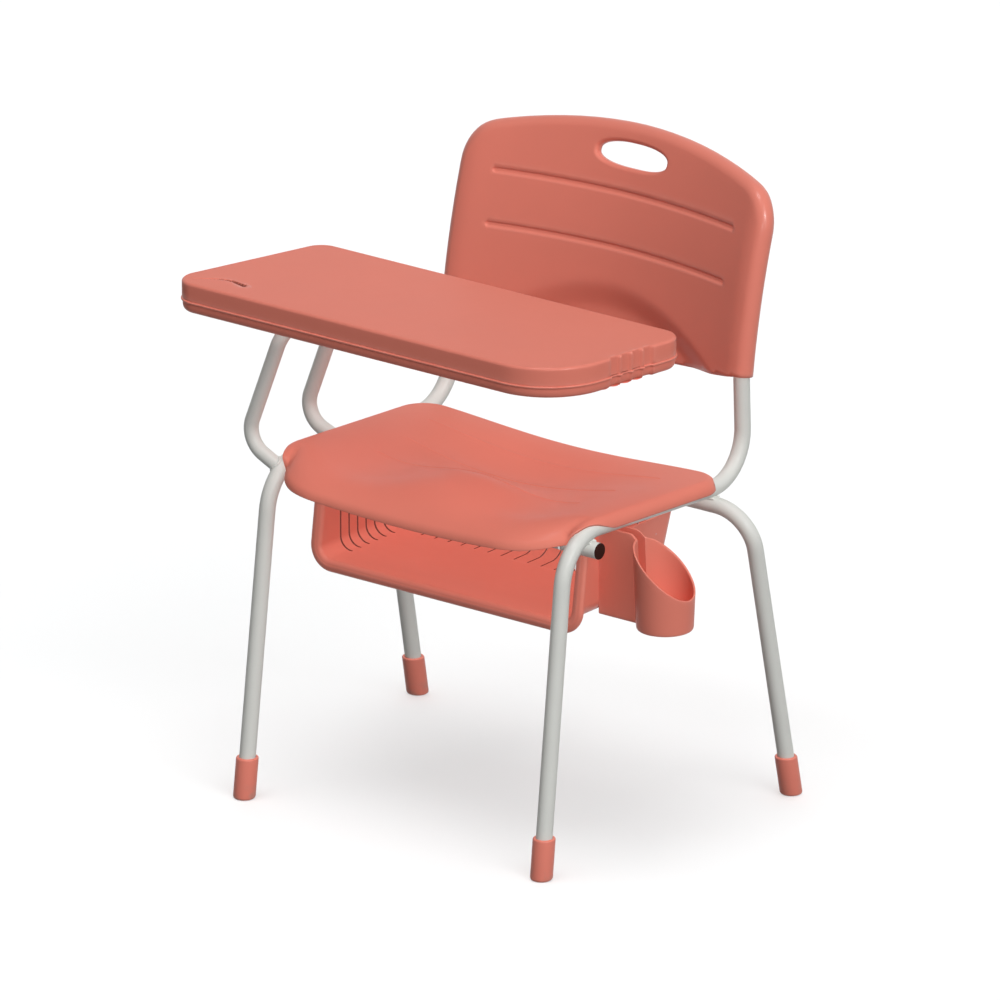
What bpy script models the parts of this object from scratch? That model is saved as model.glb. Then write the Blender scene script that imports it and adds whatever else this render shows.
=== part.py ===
"""Stacking-frame school chair with a flip-up writing tablet, a book basket and a cup holder.

Units are metres, +Z is up, the sitter faces -Y and +X is the sitter's left.
"""

import math

import bmesh
import bpy
from mathutils import Matrix, Vector
from mathutils.geometry import delaunay_2d_cdt

# Fits
FIT_GAP = 0.0003
SOCKET_GAP = 0.0009
SCREW_GAP = 0.0002

# Frame tubes
TUBE_OD = 0.022
TUBE_WALL = 0.0015
FRONT_FOOT_X = 0.246
FRONT_FOOT_Y = -0.227
FRONT_LEAN_X = -0.008
FRONT_LEAN_Y = 0.122
REAR_FOOT_X = 0.311
REAR_FOOT_Y = 0.226
REAR_LEAN_X = -0.017
REAR_LEAN_Y = -0.203
RAIL_HEIGHT = 0.4424
RAIL_SLOPE = -0.0633
FRONT_BEND = 0.070
REAR_BEND = 0.066
ARCH_BEND = 0.055
ENTRY_BEND = 0.12
FRONT_BAR_Y = -0.122
FRONT_BAR_OVERHANG = 0.0165
PLUG_HEAD = 0.0025
PLUG_DEPTH = 0.015

# Foot caps
CAP_OD = 0.030
CAP_HEIGHT = 0.056
CAP_FLOOR = 0.006
CAP_EDGE = 0.004

# A rounded edge's middle point, as a share of its size
EDGE_MIDDLE = 0.3

# Moulded shells
SHELL_WALL = 0.0035

# Backrest
BACK_EDGE_X = 0.2380
BACK_BASE_Z = 0.570
BACK_BASE_Y = 0.1945
BACK_BASE_SLOPE = 0.13
BACK_PROFILE_RADIUS = 1.02
BACK_PLAN_RADIUS = 0.80
BACK_EDGE_BLEND = 0.020
BACK_TOP_Z = 0.8285
BACK_CROWN_RADIUS = 0.85
BACK_SHOULDER = 0.045
BACK_CROWN_SHARES = (0.6, 0.3, 0.0, -0.3, -0.6)
BACK_BOTTOM_Z = 0.548
BACK_BOTTOM_RADIUS = 1.2
BACK_SIDE_ROLL = math.radians(200)
BACK_TOP_ROLL = math.radians(165)
LUMBAR_TOP_Z = 0.643
LUMBAR_ARCH_RADIUS = 0.25
LUMBAR_DEPTH = 0.011
LUMBAR_RUN = 0.045
HAND_HOLE_Z = 0.802
HAND_HOLE_LENGTH = 0.112
HAND_HOLE_HEIGHT = 0.030
HAND_HOLE_POWER = 2.5
UPRIGHT_END_Z = 0.745
BACK_SCREW_Z = (0.615, 0.715)

# Seat
SEAT_FRONT_Y = -0.200
SEAT_REAR_Y = 0.150
SEAT_FRONT_CORNER = 0.095
SEAT_REAR_CORNER = 0.034
SEAT_DISH = 0.034
SEAT_DISH_REAR_SHARE = 0.31
SEAT_BOWL_FROM = 0.35
SEAT_BOWL_TO = 0.7
SEAT_BOWL_FADE = 0.3
SEAT_THIGH_DIP = 0.018
SEAT_WATERFALL_Y = -0.110
SEAT_WATERFALL_CENTRE = 0.034
SEAT_WATERFALL_SIDE = 0.021
SEAT_WATERFALL_LEAST = 0.030
SEAT_SIDE_ROLL = math.radians(95)
SEAT_FRONT_ROLL = math.radians(55)
SEAT_CORNER_ROLL = math.radians(35)
SEAT_REAR_ROLL = math.radians(40)
SEAT_ROLL_START_Y = -0.070
SEAT_ROLL_BLEND = 0.055
SEAT_CORNER_RUN = 0.060
SEAT_BOSS_RADIUS = 0.007
SEAT_FRONT_BOSS_X = 0.150
SEAT_REAR_BOSS_X = 0.120

# Book basket
BASKET_HALF_WIDTH = 0.2095
BASKET_FLOOR_Z = 0.3095
BASKET_TOP_DROP = 0.003
BASKET_FRONT_Y = -0.115
BASKET_FRONT_TOP_Y = -0.101
BASKET_REAR_Y = 0.077
BASKET_REAR_TOP_Y = 0.112
BASKET_CORNER = 0.020
BASKET_CORNER_STEPS = 4
BASKET_WALL = 0.003
BASKET_LIP = 0.0145
SLOT_WIDTH = 0.004
SLOT_TOP_MARGIN = 0.023
SIDE_SLOT_COUNT = 6
SIDE_SLOT_PITCH = 0.018
SIDE_SLOT_FIRST_Y = -0.071
SIDE_SLOT_FLOOR_REACH = 0.020
REAR_SLOT_COUNT = 15
REAR_SLOT_PITCH = 0.022
REAR_SLOT_FLOOR_REACH = 0.002

# Basket hangers
HANGER_THICKNESS = 0.003
HANGER_RIM = 0.004
HANGER_TAB_WIDTH = 0.026
HANGER_TAB_DEPTH = 0.030
HANGER_EDGE_GAP = 0.004
HANGER_HOOK_START = math.radians(40)
HANGER_HOOK_END = math.radians(200)
HANGER_RIVET_RISE = 0.0065

# Cup holder
CUP_X = 0.310
CUP_Y = -0.048
CUP_RADIUS = 0.0425
CUP_BASE_RADIUS = 0.0375
CUP_FLOOR_Z = 0.3095
CUP_TOP_Z = 0.430
CUP_WALL = 0.0028
CUP_CUT_Z = 0.389
CUP_CUT_SLOPE_X = -0.85
CUP_CUT_SLOPE_Y = -0.10
NECK_WIDTH = 0.021
NECK_FLOOR_Z = 0.310
CUP_SCREW_RISE = 0.0255
CUP_SCREW_DROP = 0.010

# Tablet
TABLET_TOP_Z = 0.690
TABLET_SIDE = 0.025
TABLET_BASE_DEPTH = 0.018
TABLET_WALL = 0.003
TABLET_EDGE = 0.004
TABLET_BEAD = 0.0012
TABLET_BEAD_HEIGHT = 0.004
TABLET_BASE_INSET = 0.012
TABLET_BASE_CURVE = 0.004
TABLET_BEAD_FLAT = 0.0024
TABLET_BASE_RIM = 0.005
TABLET_FRONT_Y = -0.217
TABLET_REAR_Y = 0.020
TABLET_FRONT_LEFT_X = -0.380
TABLET_REAR_LEFT_X = -0.308
TABLET_FRONT_RIGHT_X = 0.256
TABLET_REAR_RIGHT_X = 0.296
TABLET_CORNER = 0.030
TABLET_BIG_CORNER = 0.100
GRIP_COUNT = 4
GRIP_PITCH = 0.0192
GRIP_FIRST_Y = -0.107
GRIP_WIDTH = 0.0182
GRIP_DEPTH = 0.003
GRIP_FLOOR_WIDTH = 0.0104

# Tablet arm and hinge
ARM_OD = 0.020
ARM_WALL = 0.0015
ARM_FRONT_Y = -0.150
ARM_REAR_Y = -0.029
ARM_ELBOW_X = -0.3017
ARM_ELBOW_RISE = 0.0231
ARM_ELBOW_BEND = 0.035
ARM_TOP_BEND = 0.030
HINGE_X = -0.2375
HINGE_DROP = 0.014
HINGE_GAP = 0.0003
SADDLE_WIDTH = 0.014
SADDLE_SPACING = 0.048
SADDLE_HALF_LENGTH = 0.019
SADDLE_DEPTH = 0.0145
REST_LENGTH = 0.100
REST_WIDTH = 0.030

# Screws
SCREW_RADIUS = 0.002
SCREW_HEAD_RADIUS = 0.004
SCREW_HEAD = 0.002
SCREW_CROWN_RADIUS = 0.0028
SCREW_RIM = 0.0008

# Mesh steps
MERGE = 0.00001
TUBE_BEVEL_RESOLUTION = 4
BEND_STEPS = 6
UPRIGHT_STEPS = 5
OUTLINE_STEP = 0.022
GRID_STEP = 0.036
ROLL_STEPS = 8
TURN_STEPS = 24
SMALL_TURN_STEPS = 10
SLOPE_STEP = 0.0005
SOLVE_ROUNDS = 8
FACING = 0.9

TUBE_RADIUS = TUBE_OD / 2
ARM_RADIUS = ARM_OD / 2
ROLL_RADIUS = TUBE_RADIUS + SOCKET_GAP + SHELL_WALL
TABLET_BEAD_Z = TABLET_TOP_Z - TABLET_SIDE
TABLET_BOTTOM_Z = TABLET_BEAD_Z - TABLET_BASE_DEPTH
HINGE_Z = TABLET_BOTTOM_Z - HINGE_DROP
SIDES = {"left": 1, "right": -1}

COLOURS = {
    "coral_plastic": ((0.72, 0.22, 0.16), 0.45, 0.0),
    "grey_paint": ((0.58, 0.61, 0.58), 0.40, 0.3),
    "dark_plug": ((0.06, 0.02, 0.015), 0.60, 0.0),
    "zinc_steel": ((0.62, 0.62, 0.60), 0.35, 1.0),
}


def collection(name):
    made = bpy.data.collections.new(name)
    bpy.context.scene.collection.children.link(made)
    return made


def clear_scene():
    for obj in list(bpy.data.objects):
        bpy.data.objects.remove(obj, do_unlink=True)


def material_for(node, finish):
    colour, roughness, metallic = COLOURS[finish]
    material = bpy.data.materials.new(f"{finish}_{node}")
    material.use_nodes = True
    shader = material.node_tree.nodes["Principled BSDF"]
    shader.inputs["Base Color"].default_value = (*colour, 1.0)
    shader.inputs["Roughness"].default_value = roughness
    shader.inputs["Metallic"].default_value = metallic
    return material


def smoothstep(low, high, value):
    share = min(max((value - low) / (high - low), 0.0), 1.0)
    return share * share * (3 - 2 * share)


# Objects from meshes and curves


def part(name, mesh, finish):
    """A piece of the chair: one named object under the assembly empty, with its own material."""
    obj = bpy.data.objects.new(name, mesh)
    PARTS.objects.link(obj)
    obj.parent = ASSEMBLY
    mesh.materials.append(material_for(name, finish))
    return obj


def cutter(name, mesh):
    """A shape that only cuts or joins other pieces."""
    obj = bpy.data.objects.new(name, mesh)
    CUTTERS.objects.link(obj)
    obj.parent = ASSEMBLY
    obj.hide_render = True
    obj.display_type = "WIRE"
    return obj


def combine(target, other, operation):
    boolean = target.modifiers.new(f"{operation.lower()}_{other.name}", "BOOLEAN")
    boolean.operation = operation
    boolean.solver = "EXACT"
    boolean.object = other


def cut(target, other):
    combine(target, other, "DIFFERENCE")


def join(target, other):
    combine(target, other, "UNION")


def solidify(obj, wall):
    shell = obj.modifiers.new("wall", "SOLIDIFY")
    shell.thickness = wall
    shell.offset = -1
    shell.use_even_offset = True


def mesh_from(bm, name):
    bmesh.ops.recalc_face_normals(bm, faces=bm.faces)
    mesh = bpy.data.meshes.new(name)
    bm.to_mesh(mesh)
    bm.free()
    return mesh


def evaluated_mesh(obj):
    graph = bpy.context.evaluated_depsgraph_get()
    return bpy.data.meshes.new_from_object(obj.evaluated_get(graph))


def boxes_mesh(name, corners):
    """Plain boxes in one mesh, from their lowest and highest corners."""
    bm = bmesh.new()
    for low, high in corners:
        size = Vector(high) - Vector(low)
        middle = (Vector(high) + Vector(low)) / 2
        place = Matrix.Translation(middle) @ Matrix.Diagonal((*size, 1.0))
        bmesh.ops.create_cube(bm, size=1.0, matrix=place)
    return mesh_from(bm, name)


def box_mesh(name, low, high):
    return boxes_mesh(name, [(low, high)])


def rod_mesh(name, start, end, radius, end_radius=None, steps=TURN_STEPS):
    """A round bar, or a cone when its two radii differ, from one point to another."""
    start = Vector(start)
    run = Vector(end) - start
    bm = bmesh.new()
    far = radius if end_radius is None else end_radius
    bmesh.ops.create_cone(bm, cap_ends=True, segments=steps, radius1=radius, radius2=far, depth=run.length)
    turn = Vector((0, 0, 1)).rotation_difference(run).to_matrix().to_4x4()
    bmesh.ops.transform(bm, matrix=Matrix.Translation(start + run / 2) @ turn, verts=bm.verts)
    return mesh_from(bm, name)


def turned_mesh(name, profile, steps):
    """A turned piece about +Z, from a profile of radius and height listed from its top to its bottom."""
    bm = bmesh.new()
    points = [bm.verts.new((radius, 0, height)) for radius, height in profile]
    for first, second in zip(points, points[1:]):
        bm.edges.new((first, second))
    outline = bpy.data.meshes.new(f"{name}_profile")
    bm.to_mesh(outline)
    bm.free()
    blank = bpy.data.objects.new(f"{name}_blank", outline)
    CUTTERS.objects.link(blank)
    screw = blank.modifiers.new("turn", "SCREW")
    screw.axis = "Z"
    screw.steps = steps
    screw.render_steps = steps
    screw.use_merge_vertices = True
    screw.merge_threshold = MERGE
    mesh = evaluated_mesh(blank)
    bpy.data.objects.remove(blank, do_unlink=True)
    bpy.data.meshes.remove(outline)
    return mesh


def tube_mesh(name, path, radius, filled):
    """A round tube or bar along a path, from a curve with a bevel."""
    curve = bpy.data.curves.new(name, "CURVE")
    curve.dimensions = "3D"
    curve.bevel_depth = radius
    curve.bevel_resolution = TUBE_BEVEL_RESOLUTION
    curve.use_fill_caps = filled
    spline = curve.splines.new("POLY")
    spline.points.add(len(path) - 1)
    for point, place in zip(spline.points, path):
        point.co = (*place, 1.0)
    blank = bpy.data.objects.new(f"{name}_blank", curve)
    CUTTERS.objects.link(blank)
    mesh = evaluated_mesh(blank)
    bpy.data.objects.remove(blank, do_unlink=True)
    bm = bmesh.new()
    bm.from_mesh(mesh)
    bmesh.ops.remove_doubles(bm, verts=bm.verts, dist=MERGE)
    bmesh.ops.recalc_face_normals(bm, faces=bm.faces)
    bm.to_mesh(mesh)
    bm.free()
    mesh.shade_smooth()
    return mesh


def tube(name, path, od, wall):
    obj = part(name, tube_mesh(name, path, od / 2, False), "grey_paint")
    solidify(obj, wall)
    return obj


def loft_mesh(name, rings):
    """A closed solid through rings of equal count, with its first and last ring capped."""
    bm = bmesh.new()
    loops = [[bm.verts.new(place) for place in ring] for ring in rings]
    for near, far in zip(loops, loops[1:]):
        for index in range(len(near)):
            after = (index + 1) % len(near)
            bm.faces.new((near[index], near[after], far[after], far[index]))
    bm.faces.new(loops[0])
    bm.faces.new(loops[-1])
    return mesh_from(bm, name)


# Paths and outlines


def filleted(points, radii, closed=False):
    """A path through points, with a bend radius at each corner. A radius of 0 keeps the corner sharp."""
    places = [Vector(point) for point in points]
    count = len(places)
    path = []
    for index, (corner, radius) in enumerate(zip(places, radii)):
        ends = not closed and index in (0, count - 1)
        if ends or radius == 0:
            path.append(corner)
            continue
        back = (places[index - 1] - corner).normalized()
        ahead = (places[(index + 1) % count] - corner).normalized()
        half = back.angle(ahead) / 2
        middle = corner + (back + ahead).normalized() * radius / math.sin(half)
        start = corner + back * radius / math.tan(half) - middle
        end = corner + ahead * radius / math.tan(half) - middle
        sweep = start.angle(end)
        for step in range(BEND_STEPS + 1):
            near = math.sin(sweep * (1 - step / BEND_STEPS)) / math.sin(sweep)
            far = math.sin(sweep * step / BEND_STEPS) / math.sin(sweep)
            path.append(middle + start * near + end * far)
    apart = [index for index in range(1, len(path)) if (path[index] - path[index - 1]).length > MERGE]
    return [path[index] for index in [0] + apart]


def resampled(path, step):
    """An open 2D path with points at about equal steps, its ends included."""
    lengths = [(far - near).length for near, far in zip(path, path[1:])]
    count = max(round(sum(lengths) / step), 1)
    made = [path[0]]
    for number in range(1, count):
        left = sum(lengths) * number / count
        index = 0
        while left > lengths[index]:
            left -= lengths[index]
            index += 1
        made.append(path[index].lerp(path[index + 1], left / lengths[index]))
    return made + [path[-1]]


def outward_normals(path, closed=True):
    """Outward unit normals along a path that runs anticlockwise round its shape."""
    normals = []
    last = len(path) - 1
    for index in range(len(path)):
        before = path[index - 1] if closed or index > 0 else path[0]
        after = path[(index + 1) % len(path)] if closed or index < last else path[last]
        run = after - before
        normals.append(Vector((run.y, -run.x)).normalized())
    return normals


def inset(loop, distance):
    return [point - normal * distance for point, normal in zip(loop, outward_normals(loop))]


def inside(loop, point):
    """Whether a 2D point lies in a loop, counted by the edges that a ray crosses."""
    crossed = False
    for index, near in enumerate(loop):
        far = loop[index - 1]
        if (near.y > point.y) != (far.y > point.y):
            if point.x < near.x + (far.x - near.x) * (point.y - near.y) / (far.y - near.y):
                crossed = not crossed
    return crossed


def frange(low, high, step):
    count = math.ceil((high - low) / step)
    return [low + (high - low) * number / count for number in range(count + 1)]


def rolled_panel(runs, holes, height, place):
    """A moulded panel with a rolled rim, as an open surface.

    runs are the paths that make up the outline, anticlockwise in the panel's own two axes, each with
    a function for the rim's turn at a point, or None where the edge is plain. holes are loops,
    height gives the seen face, and place turns panel axes into the chair's.
    """
    outline = [point for path, _ in runs for point in path[:-1]]
    keep_out = inset(outline, GRID_STEP / 2)
    lows = [min(point[axis] for point in outline) for axis in (0, 1)]
    highs = [max(point[axis] for point in outline) for axis in (0, 1)]
    flat = list(outline)
    edges = [(index, (index + 1) % len(outline)) for index in range(len(outline))]
    for hole in holes:
        first = len(flat)
        flat += hole
        edges += [(first + index, first + (index + 1) % len(hole)) for index in range(len(hole))]
    wide_holes = [inset(hole, -GRID_STEP / 3) for hole in holes]
    for first in frange(lows[0], highs[0], GRID_STEP):
        for second in frange(lows[1], highs[1], GRID_STEP):
            point = Vector((first, second))
            if inside(keep_out, point) and not any(inside(hole, point) for hole in wide_holes):
                flat.append(point)
    points, _, faces, _, _, _ = delaunay_2d_cdt(flat, edges, [], 1, MERGE)
    bm = bmesh.new()
    verts = [bm.verts.new(place(point.x, point.y, height(point.x, point.y))) for point in points]
    for face in faces:
        middle = sum((points[index] for index in face), Vector((0, 0))) / len(face)
        if not any(inside(hole, middle) for hole in holes):
            bm.faces.new([verts[index] for index in face])
    first = 0
    for path, roll in runs:
        rim = [verts[(first + index) % len(outline)] for index in range(len(path))]
        first += len(path) - 1
        if roll is not None:
            roll_rim(bm, path, rim, roll, height, place)
    return bm


def roll_rim(bm, path, rim, roll, height, place):
    """Turns a panel's edge away from the seen face in rows of faces along a path."""
    normals = outward_normals(path, closed=False)
    for step in range(1, ROLL_STEPS + 1):
        row = []
        for point, normal in zip(path, normals):
            turn = roll(point.x, point.y) * step / ROLL_STEPS
            row.append(bm.verts.new(place(*roll_point(point, normal, height, turn))))
        for index in range(len(rim) - 1):
            bm.faces.new((rim[index], row[index], row[index + 1], rim[index + 1]))
        rim = row


def slope_at(height, point):
    step = SLOPE_STEP
    first = (height(point.x + step, point.y) - height(point.x - step, point.y)) / (2 * step)
    second = (height(point.x, point.y + step) - height(point.x, point.y - step)) / (2 * step)
    return first, second


def roll_point(point, outward, height, turn):
    """A point of the rolled rim in panel axes, turned about the rim's axis from the seen face."""
    first, second = slope_at(height, point)
    normal = Vector((-first, -second, 1)).normalized()
    away = Vector((outward.x, outward.y, first * outward.x + second * outward.y)).normalized()
    axis = Vector((point.x, point.y, height(point.x, point.y))) - normal * ROLL_RADIUS
    return axis + (normal * math.cos(turn) + away * math.sin(turn)) * ROLL_RADIUS


def rim_axis(point, height):
    """The centre of the rolled rim at a point of the outline, in panel axes."""
    first, second = slope_at(height, point)
    normal = Vector((-first, -second, 1)).normalized()
    return Vector((point.x, point.y, height(point.x, point.y))) - normal * ROLL_RADIUS


# Backrest surface


def back_place(across, up, forward):
    return Vector((across, -forward, up))


def back_forward(across, up):
    """How far the backrest's seen face lies towards the sitter, as minus Y."""
    rise = up - BACK_BASE_Z
    edge_y = BACK_BASE_Y + BACK_BASE_SLOPE * rise + rise * rise / (2 * BACK_PROFILE_RADIUS)
    inwards = max(BACK_EDGE_X - abs(across), 0.0)
    if inwards < BACK_EDGE_BLEND:
        inwards = inwards * inwards / (2 * BACK_EDGE_BLEND)
    else:
        inwards = inwards - BACK_EDGE_BLEND / 2
    hollow = (2 * BACK_EDGE_X * inwards - inwards * inwards) / (2 * BACK_PLAN_RADIUS)
    below_arch = LUMBAR_TOP_Z - across * across / (2 * LUMBAR_ARCH_RADIUS) - up
    relief = LUMBAR_DEPTH * smoothstep(0.0, LUMBAR_RUN, below_arch)
    return -(edge_y + hollow + relief)


def back_hem(across):
    return BACK_BOTTOM_Z + across * across / (2 * BACK_BOTTOM_RADIUS)


def back_runs():
    """The backrest's outline: up one side, over the crown and down the other side, then along the hem."""

    def crown(across):
        return BACK_TOP_Z - across * across / (2 * BACK_CROWN_RADIUS)

    edge = BACK_EDGE_X
    upper = [(edge, back_hem(edge)), (edge, crown(edge))]
    upper += [(share * edge, crown(share * edge)) for share in BACK_CROWN_SHARES]
    upper += [(-edge, crown(edge)), (-edge, back_hem(edge))]
    radii = [0, BACK_SHOULDER] + [0] * len(BACK_CROWN_SHARES) + [BACK_SHOULDER, 0]
    hem = [Vector((across, back_hem(across))) for across in frange(-edge, edge, OUTLINE_STEP)]
    return [(resampled(filleted(upper, radii), OUTLINE_STEP), back_roll), (hem, None)]


def back_roll(across, up):
    top = smoothstep(BACK_EDGE_X, BACK_EDGE_X - BACK_SHOULDER, abs(across))
    return BACK_SIDE_ROLL + (BACK_TOP_ROLL - BACK_SIDE_ROLL) * top


def oval(length, height, centre, power, steps):
    """An outline between an ellipse and a rectangle, squarer as its power grows."""
    loop = []
    for step in range(steps):
        angle = 2 * math.pi * step / steps
        first = math.copysign(abs(math.cos(angle)) ** (2 / power), math.cos(angle))
        second = math.copysign(abs(math.sin(angle)) ** (2 / power), math.sin(angle))
        loop.append(Vector(centre) + Vector((first * length / 2, second * height / 2)))
    return loop


def upright_axis(side):
    """The part of a side tube that lies in the backrest's rolled edge, from the bottom up."""
    hem_top = back_hem(BACK_EDGE_X)
    heights = frange(hem_top, UPRIGHT_END_Z, (UPRIGHT_END_Z - hem_top) / UPRIGHT_STEPS)
    points = [rim_axis(Vector((BACK_EDGE_X, up)), back_forward) for up in heights]
    return [back_place(side * point.x, point.y, point.z) for point in points]


# Frame


def rail_height(y):
    return RAIL_HEIGHT + RAIL_SLOPE * y


def rail_front_corner():
    """Where the straight leg and the straight rail would meet, as Y and Z."""
    y = (FRONT_FOOT_Y + FRONT_LEAN_Y * RAIL_HEIGHT) / (1 - FRONT_LEAN_Y * RAIL_SLOPE)
    return y, rail_height(y)


def rail_x():
    return FRONT_FOOT_X + FRONT_LEAN_X * rail_front_corner()[1]


def leg_end(x, y, lean_x, lean_y):
    """The lower end of a leg's axis, so high that the square-cut leaning tube clears the floor of its cap."""
    z = CAP_FLOOR + FIT_GAP + TUBE_RADIUS * math.hypot(lean_x, lean_y)
    return Vector((x + lean_x * z, y + lean_y * z, z))


def side_path(side):
    """The axis of a side tube: front leg, seat rail, rear bend and back upright."""
    front_y, front_z = rail_front_corner()
    upper = upright_axis(side)
    foot = leg_end(side * FRONT_FOOT_X, FRONT_FOOT_Y, side * FRONT_LEAN_X, FRONT_LEAN_Y)
    rear_y = upper[0].y
    corners = [foot, (side * rail_x(), front_y, front_z), (side * rail_x(), rear_y, rail_height(rear_y))]
    lower = filleted(corners + upper[:2], [0, FRONT_BEND, REAR_BEND, ENTRY_BEND, 0])
    return lower + upper[2:]


def bar_height(y):
    """The axis height of a crossbar at this Y that lies against the underside of the side tubes."""
    spacing = TUBE_OD + FIT_GAP
    path = side_path(1)
    heights = []
    for near, far in zip(path, path[1:]):
        for step in range(BEND_STEPS + 1):
            point = near.lerp(far, step / BEND_STEPS)
            if abs(point.y - y) < spacing and point.z > RAIL_HEIGHT / 2:
                heights.append(point.z - math.sqrt(spacing * spacing - (point.y - y) ** 2))
    return min(heights)


def rear_bar():
    """Y and Z of the rear crossbar: where the rear legs' lines reach the underside of the rails."""
    z = rail_height(0.0)
    for _ in range(SOLVE_ROUNDS):
        z = bar_height(REAR_FOOT_Y + REAR_LEAN_Y * z)
    return REAR_FOOT_Y + REAR_LEAN_Y * z, z


def front_bar():
    return FRONT_BAR_Y, bar_height(FRONT_BAR_Y)


def make_frame():
    """The bent tubes of the frame and the plugs in the front crossbar."""
    made = {}
    for word, side in SIDES.items():
        made[f"side_{word}"] = tube(f"side_tube_{word}", side_path(side), TUBE_OD, TUBE_WALL)
    bar_y, bar_z = rear_bar()
    foot = leg_end(REAR_FOOT_X, REAR_FOOT_Y, REAR_LEAN_X, REAR_LEAN_Y)
    corner = Vector((REAR_FOOT_X + REAR_LEAN_X * bar_z, bar_y, bar_z))
    mirror = Vector((-1, 1, 1))
    arch = filleted([foot, corner, corner * mirror, foot * mirror], [0, ARCH_BEND, ARCH_BEND, 0])
    made["arch"] = tube("rear_leg_arch", arch, TUBE_OD, TUBE_WALL)
    y, z = front_bar()
    end = rail_x() + FRONT_BAR_OVERHANG
    made["bar"] = tube("front_crossbar", [Vector((-end, y, z)), Vector((end, y, z))], TUBE_OD, TUBE_WALL)
    bore = TUBE_RADIUS - TUBE_WALL - FIT_GAP
    profile = [(0, PLUG_HEAD), (TUBE_RADIUS - PLUG_HEAD / 2, PLUG_HEAD), (TUBE_RADIUS, PLUG_HEAD / 2)]
    profile += [(TUBE_RADIUS, FIT_GAP), (bore, FIT_GAP), (bore, -PLUG_DEPTH), (0, -PLUG_DEPTH)]
    for word, side in SIDES.items():
        plug = part(f"crossbar_plug_{word}", turned_mesh("plug", profile, TURN_STEPS // 2), "dark_plug")
        plug.location = (side * end, y, z)
        plug.rotation_euler = (0, side * math.pi / 2, 0)
    return made


def make_foot_caps():
    """Moulded caps whose level sections follow the leaning legs, so that each stands flat on the floor."""
    feet = {
        "front": (FRONT_FOOT_X, FRONT_FOOT_Y, FRONT_LEAN_X, FRONT_LEAN_Y),
        "rear": (REAR_FOOT_X, REAR_FOOT_Y, REAR_LEAN_X, REAR_LEAN_Y),
    }
    outer = CAP_OD / 2
    for place, (x, y, lean_x, lean_y) in feet.items():
        bore = TUBE_RADIUS * math.sqrt(1 + lean_x * lean_x + lean_y * lean_y) + FIT_GAP
        profile = [(0, CAP_FLOOR), (bore, CAP_FLOOR), (bore, CAP_HEIGHT), (outer - CAP_EDGE / 2, CAP_HEIGHT)]
        profile += [(outer, CAP_HEIGHT - CAP_EDGE / 2), (outer, CAP_EDGE)]
        profile += [(outer - CAP_EDGE * EDGE_MIDDLE, CAP_EDGE * EDGE_MIDDLE), (outer - CAP_EDGE, 0), (0, 0)]
        for word, side in SIDES.items():
            mesh = turned_mesh("cap", profile, TURN_STEPS)
            lean = Matrix(((1, 0, side * lean_x, 0), (0, 1, lean_y, 0), (0, 0, 1, 0), (0, 0, 0, 1)))
            mesh.transform(lean)
            cap = part(f"foot_cap_{place}_{word}", mesh, "coral_plastic")
            cap.location = (side * x, y, 0)


# Fasteners


def screw(name, seat, direction, length):
    """A pan-head screw with the underside of its head at seat, and its shank along direction."""
    profile = [(0, SCREW_HEAD), (SCREW_CROWN_RADIUS, SCREW_HEAD), (SCREW_HEAD_RADIUS, SCREW_RIM)]
    profile += [(SCREW_HEAD_RADIUS, FIT_GAP), (SCREW_RADIUS, FIT_GAP), (SCREW_RADIUS, -length), (0, -length)]
    obj = part(name, turned_mesh("screw", profile, SMALL_TURN_STEPS), "zinc_steel")
    obj.location = seat
    obj.rotation_mode = "QUATERNION"
    obj.rotation_quaternion = Vector((0, 0, -1)).rotation_difference(Vector(direction))
    return obj


def screw_hole(name, seat, direction, length, before):
    """The clearance hole of a screw, begun a little before its seat and ended past its tip."""
    along = Vector(direction).normalized()
    start = Vector(seat) - along * before
    end = Vector(seat) + along * (length + FIT_GAP)
    return cutter(name, rod_mesh(name, start, end, SCREW_RADIUS + SCREW_GAP, steps=SMALL_TURN_STEPS))


# Shells


def make_back(frame):
    """The backrest: a dished panel with a hand hole, rolled round both uprights and screwed to them."""
    hole = oval(HAND_HOLE_LENGTH, HAND_HOLE_HEIGHT, (0, HAND_HOLE_Z), HAND_HOLE_POWER, TURN_STEPS)
    bm = rolled_panel(back_runs(), [hole], back_forward, back_place)
    back = part("back_shell", mesh_from_panel(bm, "back_shell", Vector((0, -1, 0))), "coral_plastic")
    solidify(back, SHELL_WALL)
    for word, side in SIDES.items():
        for number, height in enumerate(BACK_SCREW_Z, 1):
            axis = rim_axis(Vector((BACK_EDGE_X, height)), back_forward)
            first, second = slope_at(back_forward, Vector((BACK_EDGE_X, height)))
            normal = Vector((-first, -second, 1)).normalized()
            inwards = back_place(side * normal.x, normal.y, normal.z)
            middle = back_place(side * axis.x, axis.y, axis.z)
            seat = middle - inwards * ROLL_RADIUS
            length = SHELL_WALL + SOCKET_GAP + TUBE_WALL * 2
            hole = screw_hole(f"back_hole_{word}_{number}", seat, inwards, length, SCREW_HEAD)
            cut(back, hole)
            cut(frame[f"side_{word}"], hole)
            screw(f"back_screw_{word}_{number}", seat - inwards * FIT_GAP, inwards, length)


def mesh_from_panel(bm, name, seen):
    """A panel's mesh with its faces turned to the seen side."""
    mesh = mesh_from(bm, name)
    largest = max(mesh.polygons, key=lambda face: face.area)
    if largest.normal.dot(seen) < 0:
        mesh.flip_normals()
    mesh.shade_smooth()
    return mesh


def seat_front_y(across):
    """The Y of the seat's front edge at this X, along its front and round its corners."""
    past = abs(across) - (rail_x() - SEAT_FRONT_CORNER)
    past = min(max(past, 0.0), SEAT_FRONT_CORNER)
    return SEAT_FRONT_Y + SEAT_FRONT_CORNER - math.sqrt(SEAT_FRONT_CORNER**2 - past * past)


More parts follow.
